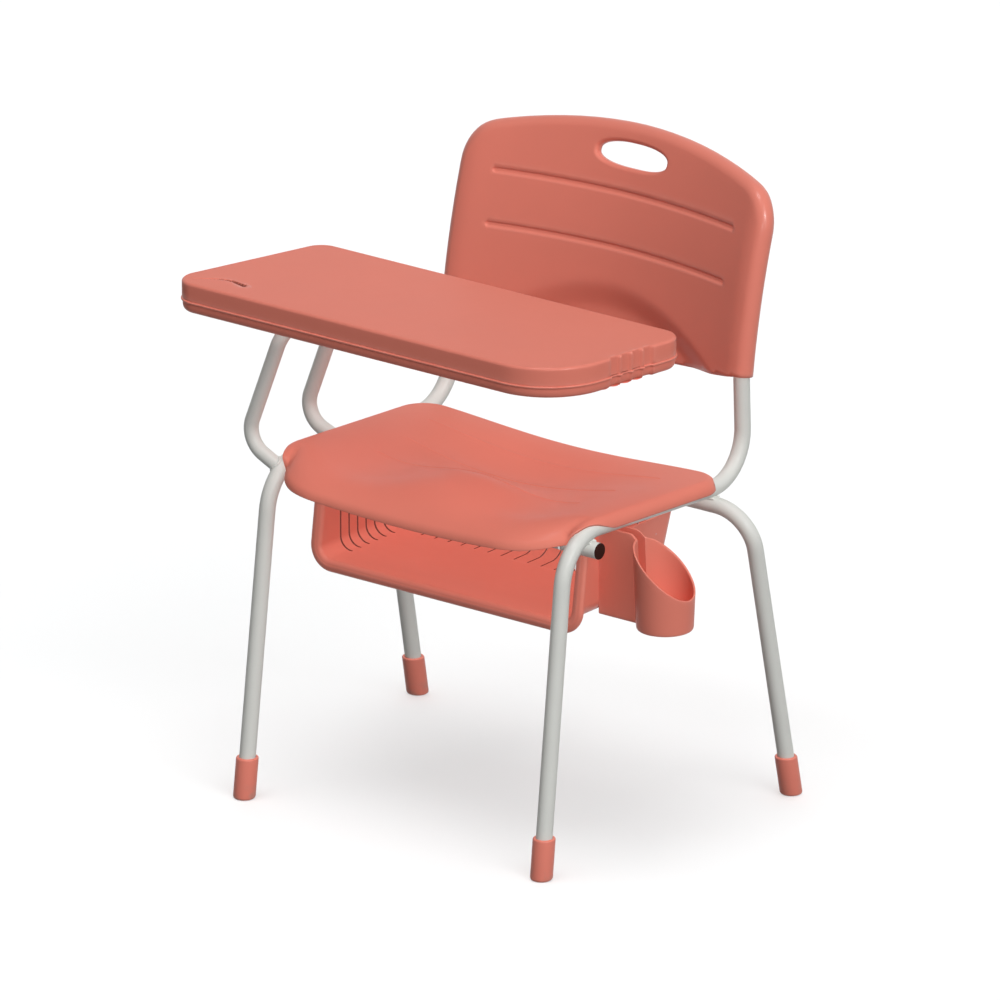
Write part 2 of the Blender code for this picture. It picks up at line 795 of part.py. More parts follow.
def seat_height(across, y):
    """Height of the seat's upper face: level with the rails at its sides, dished between them."""
    share = min(abs(across) / rail_x(), 1.0)
    edge = rail_height(y) + ROLL_RADIUS * math.sqrt(1 + RAIL_SLOPE * RAIL_SLOPE)
    length = SEAT_REAR_Y - SEAT_FRONT_Y
    behind = smoothstep(SEAT_FRONT_Y + SEAT_BOWL_FROM * length, SEAT_FRONT_Y + SEAT_BOWL_TO * length, y)
    fade = 1 - (1 - SEAT_DISH_REAR_SHARE) * smoothstep(SEAT_REAR_Y - SEAT_BOWL_FADE * length, SEAT_REAR_Y, y)
    bowl = SEAT_DISH * behind * fade * (1 - share * share) ** 2
    run = max(SEAT_WATERFALL_Y - seat_front_y(across), SEAT_WATERFALL_LEAST)
    ahead = max((SEAT_WATERFALL_Y - y) / run, 0.0)
    run_out = 1 - smoothstep(0.0, 1.0, ahead)
    thighs = SEAT_THIGH_DIP * (1 - behind) * run_out * math.sin(math.pi * share) ** 2
    drop = SEAT_WATERFALL_CENTRE + (SEAT_WATERFALL_SIDE - SEAT_WATERFALL_CENTRE) * share * share
    beside = smoothstep(rail_x() - ROLL_RADIUS / 2, rail_x() - ROLL_RADIUS * 2, abs(across))
    return edge - bowl - thighs - drop * beside * ahead * ahead


def seat_runs():
    """The seat's outline: one side, the front, the other side, then the plain corners and the rear edge."""
    side = rail_x()
    corner_y = SEAT_REAR_Y - SEAT_REAR_CORNER
    rear_x = side - SEAT_REAR_CORNER
    front = [(-side, corner_y), (-side, SEAT_FRONT_Y), (side, SEAT_FRONT_Y), (side, corner_y)]
    left = [(side, corner_y), (side, SEAT_REAR_Y), (rear_x, SEAT_REAR_Y)]
    rear = [(rear_x, SEAT_REAR_Y), (-rear_x, SEAT_REAR_Y)]
    right = [(-rear_x, SEAT_REAR_Y), (-side, SEAT_REAR_Y), (-side, corner_y)]
    bends = [0, SEAT_FRONT_CORNER, SEAT_FRONT_CORNER, 0]
    corner = [0, SEAT_REAR_CORNER, 0]
    return [
        (resampled(filleted(front, bends), OUTLINE_STEP), seat_roll),
        (resampled(filleted(left, corner), OUTLINE_STEP), None),
        (resampled(filleted(rear, [0, 0]), OUTLINE_STEP), seat_rear_roll),
        (resampled(filleted(right, corner), OUTLINE_STEP), None),
    ]


def seat_roll(across, y):
    """The rim turns round the rails at the sides, least over their bends and a little more in front."""
    front = smoothstep(SEAT_ROLL_START_Y, SEAT_ROLL_START_Y - SEAT_ROLL_BLEND, y)
    outer = smoothstep(rail_x() - SEAT_CORNER_RUN, rail_x() - TUBE_RADIUS, abs(across))
    ahead = SEAT_FRONT_ROLL + (SEAT_CORNER_ROLL - SEAT_FRONT_ROLL) * outer
    return SEAT_SIDE_ROLL + (ahead - SEAT_SIDE_ROLL) * front


def seat_rear_roll(across, y):
    clear = rail_x() - SEAT_REAR_CORNER
    return SEAT_REAR_ROLL * smoothstep(clear, clear - SEAT_REAR_CORNER, abs(across))


def make_seat(frame):
    """The seat: a dished panel rolled over both rails, on four bosses that stand on the crossbars."""
    bm = rolled_panel(seat_runs(), [], seat_height, lambda x, y, z: Vector((x, y, z)))
    seat = part("seat_shell", mesh_from_panel(bm, "seat_shell", Vector((0, 0, 1))), "coral_plastic")
    solidify(seat, SHELL_WALL)
    spots = {
        "front": (SEAT_FRONT_BOSS_X, *front_bar(), "bar"),
        "rear": (SEAT_REAR_BOSS_X, *rear_bar(), "arch"),
    }
    for place, (x, y, z, bar) in spots.items():
        for word, side in SIDES.items():
            foot = Vector((side * x, y, z + TUBE_RADIUS + FIT_GAP))
            top = Vector((side * x, y, seat_height(x, y) - SHELL_WALL / 2))
            name = f"{place}_{word}"
            boss = rod_mesh("boss", foot, top, SEAT_BOSS_RADIUS, steps=SMALL_TURN_STEPS)
            join(seat, cutter(f"seat_boss_{name}", boss))
            head = Vector((side * x, y, z - TUBE_RADIUS))
            length = TUBE_OD + FIT_GAP + (top - foot).length - SHELL_WALL
            hole = screw_hole(f"seat_hole_{name}", head, (0, 0, 1), length, SCREW_HEAD)
            cut(seat, hole)
            cut(frame[bar], hole)
            screw(f"seat_screw_{name}", head - Vector((0, 0, FIT_GAP)), (0, 0, 1), length)
    return seat


# Basket and cup holder

# The basket's upper edge runs just under the axis of the rear bar.
BASKET_TOP_Z = rear_bar()[1] - BASKET_TOP_DROP
HANGER_TAB_Z = BASKET_TOP_Z - HANGER_TAB_DEPTH
SLOT_TOP_Z = BASKET_TOP_Z - SLOT_TOP_MARGIN


def basket_front_y(z):
    share = (z - BASKET_FLOOR_Z) / (BASKET_TOP_Z - BASKET_FLOOR_Z)
    return BASKET_FRONT_Y + (BASKET_FRONT_TOP_Y - BASKET_FRONT_Y) * share


def basket_rear_y(z):
    share = (z - BASKET_FLOOR_Z) / (BASKET_TOP_Z - BASKET_FLOOR_Z)
    return BASKET_REAR_Y + (BASKET_REAR_TOP_Y - BASKET_REAR_Y) * share


def side_slots():
    """Boxes that cut the slots of both sides, from the wall round the corner into the floor."""
    below = BASKET_FLOOR_Z - BASKET_WALL
    inner = BASKET_HALF_WIDTH - BASKET_WALL - SIDE_SLOT_FLOOR_REACH
    outer = BASKET_HALF_WIDTH + BASKET_WALL
    boxes = []
    for number in range(SIDE_SLOT_COUNT):
        y = SIDE_SLOT_FIRST_Y + number * SIDE_SLOT_PITCH
        for first, last in ((inner, outer), (-outer, -inner)):
            boxes.append(((first, y - SLOT_WIDTH / 2, below), (last, y + SLOT_WIDTH / 2, SLOT_TOP_Z)))
    return boxes


def rear_slots():
    """Boxes that cut the slots of the rear, from the floor round the corner into the sloping wall."""
    below = BASKET_FLOOR_Z - BASKET_WALL
    first = BASKET_REAR_Y - BASKET_CORNER - REAR_SLOT_FLOOR_REACH
    last = BASKET_REAR_TOP_Y + BASKET_WALL
    boxes = []
    for number in range(REAR_SLOT_COUNT):
        x = (number - (REAR_SLOT_COUNT - 1) / 2) * REAR_SLOT_PITCH
        boxes.append(((x - SLOT_WIDTH / 2, first, below), (x + SLOT_WIDTH / 2, last, SLOT_TOP_Z)))
    return boxes


def make_basket():
    """The book basket: floor, two sides and a sloping rear with rounded corners, open in front and above."""
    bm = bmesh.new()
    bmesh.ops.create_cube(bm, size=2.0)
    for vert in bm.verts:
        z = BASKET_TOP_Z if vert.co.z > 0 else BASKET_FLOOR_Z
        y = basket_rear_y(z) if vert.co.y > 0 else basket_front_y(z)
        vert.co = (vert.co.x * BASKET_HALF_WIDTH, y, z)
    removed = [face for face in bm.faces if face.normal.z > FACING or face.normal.y < -FACING]
    bmesh.ops.delete(bm, geom=removed, context="FACES")
    folds = [edge for edge in bm.edges if len(edge.link_faces) == 2]
    steps = BASKET_CORNER_STEPS
    bmesh.ops.bevel(bm, geom=folds, offset=BASKET_CORNER, segments=steps, profile=0.5, affect="EDGES")
    mouth = []
    for edge in bm.edges:
        if edge.is_boundary and all(abs(v.co.y - basket_front_y(v.co.z)) < MERGE for v in edge.verts):
            mouth.append(edge)
    grown = bmesh.ops.extrude_edge_only(bm, edges=mouth)["geom"]
    depth = BASKET_TOP_Z - BASKET_FLOOR_Z
    for vert in [item for item in grown if isinstance(item, bmesh.types.BMVert)]:
        vert.co.x *= (BASKET_HALF_WIDTH + BASKET_LIP) / BASKET_HALF_WIDTH
        vert.co.z = BASKET_TOP_Z - (BASKET_TOP_Z - vert.co.z) * (depth + BASKET_LIP) / depth
        vert.co.y = basket_front_y(vert.co.z)
    mesh = mesh_from(bm, "basket")
    lowest = min(mesh.polygons, key=lambda face: face.center.z - face.area)
    if lowest.normal.z > 0:
        mesh.flip_normals()
    basket = part("basket", mesh, "coral_plastic")
    solidify(basket, BASKET_WALL)
    BASKET_CUTTERS.objects.link(cutter("basket_slots", boxes_mesh("basket_slots", side_slots() + rear_slots())))
    holes = basket.modifiers.new("slots_and_holes", "BOOLEAN")
    holes.solver = "EXACT"
    holes.operand_type = "COLLECTION"
    holes.collection = BASKET_CUTTERS


def arc(radius, start, end):
    """Points along an arc about the origin, from one angle to another."""
    turns = [start + (end - start) * step / SMALL_TURN_STEPS for step in range(SMALL_TURN_STEPS + 1)]
    return [(radius * math.cos(turn), radius * math.sin(turn)) for turn in turns]


def hanger_outline(reach, bottom):
    """A flat hook over a crossbar with an arm and a tab ahead of it, in two axes about the bar's own."""
    inner = TUBE_RADIUS + FIT_GAP
    outer = inner + HANGER_RIM
    loop = arc(outer, HANGER_HOOK_END, HANGER_HOOK_START)
    tip = reach + HANGER_TAB_WIDTH
    loop += [(tip, loop[-1][1]), (tip, bottom), (reach, bottom), (reach, 0)]
    return loop + arc(inner, 0, HANGER_HOOK_END)


def make_hangers():
    """Steel hooks over the crossbars, riveted flat inside the basket's sides."""
    front_reach = basket_front_y(HANGER_TAB_Z) + HANGER_EDGE_GAP - front_bar()[0]
    rear_reach = rear_bar()[0] - (basket_rear_y(HANGER_TAB_Z) - BASKET_CORNER - HANGER_EDGE_GAP)
    bars = {"front": (*front_bar(), front_reach, 1), "rear": (*rear_bar(), rear_reach, -1)}
    face = BASKET_HALF_WIDTH - BASKET_WALL - FIT_GAP
    for place, (bar_y, bar_z, reach, ahead) in bars.items():
        loop = [(ahead * y, z) for y, z in hanger_outline(reach, HANGER_TAB_Z - bar_z)]
        rivet_y = bar_y + ahead * (reach + HANGER_TAB_WIDTH / 2)
        rivet_z = HANGER_TAB_Z + HANGER_RIVET_RISE
        for word, side in SIDES.items():
            name = f"basket_hanger_{place}_{word}"
            near = [Vector((side * face, bar_y + y, bar_z + z)) for y, z in loop]
            far = [point - Vector((side * HANGER_THICKNESS, 0, 0)) for point in near]
            hanger = part(name, loft_mesh(name, [near, far]), "zinc_steel")
            seat = Vector((side * (face - HANGER_THICKNESS), rivet_y, rivet_z))
            length = HANGER_THICKNESS + BASKET_WALL + FIT_GAP * 2
            hole = screw_hole(f"rivet_hole_{place}_{word}", seat, (side, 0, 0), length, SCREW_HEAD)
            cut(hanger, hole)
            BASKET_CUTTERS.objects.link(hole)
            screw(f"basket_rivet_{place}_{word}", seat - Vector((side * FIT_GAP, 0, 0)), (side, 0, 0), length)


def make_cup():
    """The cup holder: a tapered cup with a narrow channel to the basket's side, cut off obliquely on top."""
    wall_x = BASKET_HALF_WIDTH + FIT_GAP
    half = NECK_WIDTH / 2
    cup = part("cup_holder", cup_body("cup_outside", 0.0, CUP_FLOOR_Z, CUP_TOP_Z), "coral_plastic")
    neck = box_mesh("neck", (wall_x, CUP_Y - half, NECK_FLOOR_Z), (CUP_X, CUP_Y + half, CUP_TOP_Z))
    join(cup, cutter("cup_neck", neck))
    over = CUP_TOP_Z + CUP_WALL
    cut(cup, cutter("cup_inside", cup_body("cup_inside", CUP_WALL, CUP_FLOOR_Z + CUP_WALL, over)))
    low = (wall_x + CUP_WALL, CUP_Y - half + CUP_WALL, NECK_FLOOR_Z + CUP_WALL)
    cut(cup, cutter("neck_inside", box_mesh("neck_inside", low, (CUP_X, CUP_Y + half - CUP_WALL, over))))
    size = CUP_RADIUS * 4
    slant = cutter("cup_slant", box_mesh("cup_slant", (-size, -size, 0), (size, size, size)))
    slant.location = (CUP_X, CUP_Y, CUP_CUT_Z)
    upward = Vector((-CUP_CUT_SLOPE_X, -CUP_CUT_SLOPE_Y, 1))
    slant.rotation_mode = "QUATERNION"
    slant.rotation_quaternion = Vector((0, 0, 1)).rotation_difference(upward)
    cut(cup, slant)
    heights = (BASKET_FLOOR_Z + CUP_SCREW_RISE, BASKET_TOP_Z - CUP_SCREW_DROP)
    for number, z in enumerate(heights, 1):
        seat = Vector((BASKET_HALF_WIDTH - BASKET_WALL, CUP_Y, z))
        length = BASKET_WALL + FIT_GAP + CUP_WALL * 2
        hole = screw_hole(f"cup_hole_{number}", seat, (1, 0, 0), length, SCREW_HEAD)
        BASKET_CUTTERS.objects.link(hole)
        cut(cup, hole)
        screw(f"cup_screw_{number}", seat - Vector((FIT_GAP, 0, 0)), (1, 0, 0), length)


def cup_body(name, inwards, floor_z, top_z):
    """The cup's taper as a solid, drawn in by the wall when it is the inside."""
    return rod_mesh(
        name, (CUP_X, CUP_Y, floor_z), (CUP_X, CUP_Y, top_z), CUP_BASE_RADIUS - inwards, CUP_RADIUS - inwards
    )


# Tablet


def tablet_outline():
    """The tablet's plan, anticlockwise, with finger grips along its free end."""
    corners = [(TABLET_FRONT_RIGHT_X, TABLET_FRONT_Y), (TABLET_REAR_RIGHT_X, TABLET_REAR_Y)]
    corners += [(TABLET_REAR_LEFT_X, TABLET_REAR_Y), (TABLET_FRONT_LEFT_X, TABLET_FRONT_Y)]
    loop = filleted(corners, [TABLET_BIG_CORNER, TABLET_CORNER, TABLET_CORNER, TABLET_CORNER], closed=True)
    end = loop[BEND_STEPS]
    start = loop[BEND_STEPS + 1]
    grips = []
    for number in range(GRIP_COUNT):
        middle = GRIP_FIRST_Y + number * GRIP_PITCH
        mouth = GRIP_WIDTH / 2
        floor = GRIP_FLOOR_WIDTH / 2
        for offset, depth in ((-mouth, 0), (-floor, GRIP_DEPTH), (floor, GRIP_DEPTH), (mouth, 0)):
            y = middle + offset
            x = end.x + (start.x - end.x) * (y - end.y) / (start.y - end.y)
            grips.append(Vector((x - depth, y)))
    return loop[: BEND_STEPS + 1] + grips + loop[BEND_STEPS + 1 :]


def ring(loop, inwards, z):
    return [Vector((point.x, point.y, z)) for point in inset(loop, inwards)]


def make_tablet():
    """The tablet's upper and lower shells. The lower one carries the upper halves of the hinge."""
    loop = tablet_outline()
    top = TABLET_TOP_Z
    bevel = TABLET_EDGE * EDGE_MIDDLE
    rings = [ring(loop, TABLET_EDGE, top), ring(loop, bevel, top - bevel), ring(loop, 0, top - TABLET_EDGE)]
    rings += [ring(loop, 0, TABLET_BEAD_Z), ring(loop, TABLET_WALL, TABLET_BEAD_Z)]
    rings += [ring(loop, TABLET_WALL, top - TABLET_WALL)]
    part("tablet_top", loft_mesh("tablet_top", rings), "coral_plastic")
    rim = TABLET_BEAD_Z - FIT_GAP
    low = TABLET_BOTTOM_Z
    rings = [ring(loop, TABLET_BASE_INSET + TABLET_WALL, low + TABLET_WALL)]
    rings += [ring(loop, TABLET_BASE_RIM, rim - TABLET_BEAD_HEIGHT), ring(loop, TABLET_WALL, rim)]
    rings += [ring(loop, -TABLET_BEAD, rim), ring(loop, -TABLET_BEAD, rim - TABLET_BEAD_FLAT)]
    rings += [ring(loop, 0, rim - TABLET_BEAD_HEIGHT), ring(loop, TABLET_BASE_CURVE, low + TABLET_WALL)]
    rings += [ring(loop, TABLET_BASE_INSET, low)]
    base = part("tablet_base", loft_mesh("tablet_base", rings), "coral_plastic")
    middle_y = (ARM_FRONT_Y + ARM_REAR_Y) / 2
    reach = SADDLE_SPACING
    ends = [(HINGE_X, middle_y + side * reach, HINGE_Z) for side in (-1, 1)]
    bore = cutter("hinge_bore", rod_mesh("hinge_bore", *ends, ARM_RADIUS + HINGE_GAP))
    for word, side in {"front": -1, "rear": 1}.items():
        y = middle_y + side * SADDLE_SPACING / 2
        low_corner = (HINGE_X - SADDLE_HALF_LENGTH, y - SADDLE_WIDTH / 2, HINGE_Z + FIT_GAP / 2)
        high_corner = (HINGE_X + SADDLE_HALF_LENGTH, y + SADDLE_WIDTH / 2, low + TABLET_WALL * 2)
        join(base, cutter(f"saddle_{word}", box_mesh("saddle", low_corner, high_corner)))
        low_corner = (HINGE_X - SADDLE_HALF_LENGTH, y - SADDLE_WIDTH / 2, HINGE_Z - SADDLE_DEPTH)
        high_corner = (HINGE_X + SADDLE_HALF_LENGTH, y + SADDLE_WIDTH / 2, HINGE_Z - FIT_GAP / 2)
        cap = part(f"hinge_cap_{word}", box_mesh("hinge_cap", low_corner, high_corner), "coral_plastic")
        cut(cap, bore)
        for number, end in enumerate((-1, 1), 1):
            x = HINGE_X + end * (SADDLE_HALF_LENGTH + ARM_RADIUS) / 2
            seat = Vector((x, y, HINGE_Z - SADDLE_DEPTH))
            length = SADDLE_DEPTH + HINGE_DROP
            hole = screw_hole(f"hinge_hole_{word}_{number}", seat, (0, 0, 1), length, SCREW_HEAD)
            cut(cap, hole)
            cut(base, hole)
            screw(f"hinge_screw_{word}_{number}", seat - Vector((0, 0, FIT_GAP)), (0, 0, 1), length)
    cut(base, bore)


def side_axis_height(y):
    """The axis height of a side tube above this Y, along its rail and front bend."""
    path = [point for point in side_path(1) if RAIL_HEIGHT / 2 < point.z < rail_height(0) + TUBE_OD]
    for near, far in zip(path, path[1:]):
        if near.y <= y <= far.y:
            return near.z + (far.z - near.z) * (y - near.y) / (far.y - near.y)
    return rail_height(y)


def arm_path():
    """The tablet arm: up from the rail, out to an elbow, in to the hinge bar, and back down the same way."""
    points = []
    for y in (ARM_FRONT_Y, ARM_REAR_Y):
        elbow = Vector((ARM_ELBOW_X, y, RAIL_HEIGHT + ARM_ELBOW_RISE))
        leg = [Vector((-rail_x(), y, side_axis_height(y))), elbow]
        leg.append(Vector((HINGE_X, y, HINGE_Z)))
        points += leg if y == ARM_FRONT_Y else leg[::-1]
    return filleted(points, [0, ARM_ELBOW_BEND, ARM_TOP_BEND, ARM_TOP_BEND, ARM_ELBOW_BEND, 0])


def make_arm(seat):
    """The tablet arm, coped to the rail, with a plate on its top bar that the lowered tablet lies on."""
    path = arm_path()
    arm = tube("tablet_arm", path, ARM_OD, ARM_WALL)
    cut(arm, cutter("rail_cope", tube_mesh("rail_cope", side_path(-1), TUBE_RADIUS + FIT_GAP, True)))
    cut(seat, cutter("arm_notch", tube_mesh("arm_notch", path, ARM_RADIUS + SOCKET_GAP * 2, True)))
    middle_y = (ARM_FRONT_Y + ARM_REAR_Y) / 2
    low = (HINGE_X + FIT_GAP, middle_y - REST_WIDTH / 2, HINGE_Z + ARM_RADIUS + FIT_GAP)
    high = (HINGE_X + REST_LENGTH, middle_y + REST_WIDTH / 2, TABLET_BOTTOM_Z - FIT_GAP)
    part("tablet_rest", box_mesh("tablet_rest", low, high), "grey_paint")


def centre_on_floor():
    """Moves the assembly so that the middle of its outer box stands on the origin."""
    graph = bpy.context.evaluated_depsgraph_get()
    corners = []
    for obj in PARTS.objects:
        if obj.type == "MESH":
            solid = obj.evaluated_get(graph)
            corners += [solid.matrix_world @ vert.co for vert in solid.data.vertices]
    lows = [min(corner[axis] for corner in corners) for axis in range(3)]
    highs = [max(corner[axis] for corner in corners) for axis in range(3)]
    ASSEMBLY.location = (-(lows[0] + highs[0]) / 2, -(lows[1] + highs[1]) / 2, -lows[2])


clear_scene()
PARTS = collection("tablet_arm_chair")
CUTTERS = collection("cutters")
BASKET_CUTTERS = collection("basket_cutters")
ASSEMBLY = bpy.data.objects.new("assembly", None)
PARTS.objects.link(ASSEMBLY)

frame_tubes = make_frame()
make_foot_caps()
make_back(frame_tubes)
seat_shell = make_seat(frame_tubes)
make_basket()
make_hangers()
make_cup()
make_tablet()
make_arm(seat_shell)
centre_on_floor()
print("assembly at", [round(value, 6) for value in ASSEMBLY.location])
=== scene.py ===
# %% [markdown]
# # A chair with a writing tablet
# A school chair: bent steel tubes carry a moulded seat, a moulded back, a book basket with a cup
# holder, and a writing tablet that tips up on its arm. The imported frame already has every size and
# the hinge, so this lesson repeats those sizes in finer meshes and gives each piece its finish.
# Everything is written in the chair's own axes first: it faces minus Y, and X is 0 in its middle.
# SHIFT then moves each piece to where the frame has it, and it is read from the front crossbar.

# %% Load the frame
import math

import bmesh
import bpy
import numpy as np
from mathutils import Matrix, Vector
from mathutils.geometry import delaunay_2d_cdt


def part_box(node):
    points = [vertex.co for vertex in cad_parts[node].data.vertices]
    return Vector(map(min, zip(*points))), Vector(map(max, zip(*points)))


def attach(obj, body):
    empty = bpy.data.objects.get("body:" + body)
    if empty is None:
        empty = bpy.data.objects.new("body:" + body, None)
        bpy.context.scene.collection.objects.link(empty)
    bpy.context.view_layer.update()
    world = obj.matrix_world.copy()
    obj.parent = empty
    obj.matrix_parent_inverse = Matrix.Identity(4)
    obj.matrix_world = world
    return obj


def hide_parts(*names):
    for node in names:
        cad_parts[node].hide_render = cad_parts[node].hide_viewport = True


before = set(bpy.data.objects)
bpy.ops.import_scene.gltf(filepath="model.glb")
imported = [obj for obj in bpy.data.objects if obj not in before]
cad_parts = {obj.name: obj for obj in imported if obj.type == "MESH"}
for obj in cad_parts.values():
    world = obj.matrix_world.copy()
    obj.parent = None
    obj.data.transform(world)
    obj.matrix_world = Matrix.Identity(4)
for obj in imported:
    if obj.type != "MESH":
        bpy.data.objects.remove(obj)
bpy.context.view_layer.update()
FRONT_BAR_Y = -0.122
bar_low, bar_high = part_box("front_crossbar")
bar_middle = (bar_low + bar_high) / 2
FRONT_BAR_Z = bar_middle.z
SHIFT = Vector((bar_middle.x, bar_middle.y - FRONT_BAR_Y, 0.0))
scene = bpy.context.scene


def put(name, data):
    """A new object in the scene."""
    obj = bpy.data.objects.new(name, data)
    scene.collection.objects.link(obj)
    return obj


print("frame nodes", len(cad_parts), "shift", [round(value, 5) for value in SHIFT])

# %% [markdown]
# ## Camera
# The picture was taken from far away with a long lens: parallel edges stay parallel. A camera with
# an orthographic lens could do that too, but a real lens at 24 m keeps the slight narrowing to the
# rear. The three axes of the view are worked out from its two angles.

# %% Camera
VIEW_AZIMUTH = math.radians(37.76)
VIEW_ELEVATION = math.radians(19.66)
VIEW_DISTANCE = 24.0
VIEW_LENS = 661.8
VIEW_AIM = Vector((0.0, 0.0, 0.40))
VIEW_SLIDE = (0.002, 0.004)

level, climb = math.cos(VIEW_ELEVATION), math.sin(VIEW_ELEVATION)
backward = Vector((math.sin(VIEW_AZIMUTH) * level, -math.cos(VIEW_AZIMUTH) * level, climb))
rightward = Vector((math.cos(VIEW_AZIMUTH), math.sin(VIEW_AZIMUTH), 0.0))
upward = backward.cross(rightward)
lens = bpy.data.cameras.new("long_lens")
lens.lens = VIEW_LENS
lens.sensor_width = 36.0
lens.clip_end = 100.0
camera = put("camera", lens)
lens_place = VIEW_AIM + SHIFT + backward * VIEW_DISTANCE + rightward * VIEW_SLIDE[0] + upward * VIEW_SLIDE[1]
turned = Matrix((rightward, upward, backward)).transposed().to_4x4()
camera.matrix_world = Matrix.Translation(lens_place) @ turned
scene.camera = camera
scene.view_settings.view_transform = "Standard"
print("camera at", [round(value, 3) for value in lens_place])

# %% [markdown]
# ## Writing shader nodes as sums
# A finish is a tree of nodes, and wiring them one link at a time hides the idea. Here an output
# socket is wrapped in a small class, so that `1 - mask` or `grain * 0.2` adds the Math node itself.
# A second class holds one tree and adds any other node from its type, settings and sockets.

# %% Node classes
class Reading:
    """A node's output, on which ordinary arithmetic adds Math nodes."""

    def __init__(self, board, socket):
        self.board = board
        self.socket = socket

    def maths(self, operation, first, second):
        return self.board.node("ShaderNodeMath", {"operation": operation}, {0: first, 1: second})

    def __add__(self, other):
        return self.maths("ADD", self, other)

    def __sub__(self, other):
        return self.maths("SUBTRACT", self, other)

    def __rsub__(self, other):
        return self.maths("SUBTRACT", other, self)

    def __mul__(self, other):
        return self.maths("MULTIPLY", self, other)

    __radd__ = __add__
    __rmul__ = __mul__


class Board:
    """A node tree, emptied, that takes new nodes by type, settings and sockets."""

    def __init__(self, tree):
        self.tree = tree
        tree.nodes.clear()

    def node(self, kind, settings, sockets, output=0):
        made = self.tree.nodes.new(kind)
        for name, value in settings.items():
            setattr(made, name, value)
        for name, value in sockets.items():
            if isinstance(value, Reading):
                self.tree.links.new(value.socket, made.inputs[name])
            else:
                made.inputs[name].default_value = value
        return Reading(self, made.outputs[output]) if len(made.outputs) else made

    def place(self):
        return self.node("ShaderNodeTexCoord", {}, {}, "Object")

    def blended(self, share, first, second):
        """A colour between two, by a share from 0 to 1."""
        return self.node("ShaderNodeMix", {"data_type": "RGBA"}, {0: share, 6: first, 7: second}, 2)

    def noise(self, where, scale, detail):
        return self.node("ShaderNodeTexNoise", {}, {"Vector": where, "Scale": scale, "Detail": detail})

    def between(self, value, low, high):
        """0 below low, 1 above high, and a soft step between."""
        soft = {"interpolation_type": "SMOOTHSTEP"}
        return self.node("ShaderNodeMapRange", soft, {"Value": value, "From Min": low, "From Max": high})

    def bump(self, strength, distance, height):
        return self.node("ShaderNodeBump", {}, {"Strength": strength, "Distance": distance, "Height": height})

    def surface(self, sockets):
        """The face that all this feeds, joined to the material's output."""
        face = self.node("ShaderNodeBsdfPrincipled", {}, sockets)
        self.node("ShaderNodeOutputMaterial", {}, {"Surface": face})


def new_finish(name):
    finish = bpy.data.materials.new(name)
    finish.use_nodes = True
    return finish, Board(finish.node_tree)


print("node classes ready")

# %% [markdown]
# ## Light and floor
# The picture is lit from above and from the right, softly and with hardly a shadow on the chair itself,
# and its floor is white with a soft shade under the chair. Lamps near the chair would leave the floor
# grey further out, so wide suns light it. Most of their light is a fill that casts no shadow, as a
# ring of large soft boxes gives. A faint one from behind keeps the far side readable, and stays out of
# reflections so that it makes no glare. One more sun falls on the floor alone and draws the shade. What
# the floor lacks to white is a glow that only the camera and reflections see, so no light is added to
# the chair.

# %% Light and floor
WHITE = (1.0, 1.0, 1.0, 1.0)
BLACK = (0.0, 0.0, 0.0, 1.0)
SKY_GREY = (0.05, 0.05, 0.05, 1.0)
FLOOR_SEEN = (0.80, 0.80, 0.80, 1.0)
FLOOR_BOUNCE = (0.16, 0.16, 0.16, 1.0)
FLOOR_GLOW = (0.000, 0.010, 0.012, 1.0)
FLOOR_REACH = 60.0
FROM_SIDE = (0.80, -0.30, 0.55)
FROM_ABOVE = (0.05, -0.20, 1.0)
# Each sun: where it comes from, its level, its spread in degrees, whether it casts shadows.
SUNS = {
    "side_sun": (FROM_SIDE, 0.30, 45.0, True),
    "side_fill": (FROM_SIDE, 0.38, 10.0, False),
    "top_sun": (FROM_ABOVE, 0.08, 70.0, True),
    "top_fill": (FROM_ABOVE, 0.37, 20.0, False),
    "front_fill": ((0.60, -0.75, 0.30), 0.09, 10.0, False),
    "rear_fill": ((-0.65, 0.75, 0.20), 0.34, 60.0, False),
    "floor_sun": ((-0.05, -0.10, 1.0), 0.34, 36.0, True),
}


def seen_directly(board):
    """1 for rays from the camera and for reflections, 0 for the light that falls on things."""
    kinds = ("Camera", "Glossy", "Transmission")
    rays = [board.node("ShaderNodeLightPath", {}, {}, f"Is {kind} Ray") for kind in kinds]
    return rays[0] + rays[1] + rays[2]


world = bpy.data.worlds.new("even_sky")
scene.world = world
world.use_nodes = True
sky = Board(world.node_tree)
sky_light = sky.node("ShaderNodeBackground", {}, {"Color": sky.blended(seen_directly(sky), SKY_GREY, WHITE)})
sky.node("ShaderNodeOutputWorld", {}, {"Surface": sky_light})
lamps = {}
for name, (origin, strength, spread, shadow) in SUNS.items():
    lamp = bpy.data.lights.new(name, "SUN")
    lamp.energy = strength * math.pi
    lamp.angle = math.radians(spread)
    lamp.use_shadow = shadow
    lamps[name] = put(name, lamp)
    lamps[name].rotation_mode = "QUATERNION"
    lamps[name].rotation_quaternion = Vector(origin).to_track_quat("Z", "Y")
lamps["rear_fill"].visible_glossy = False

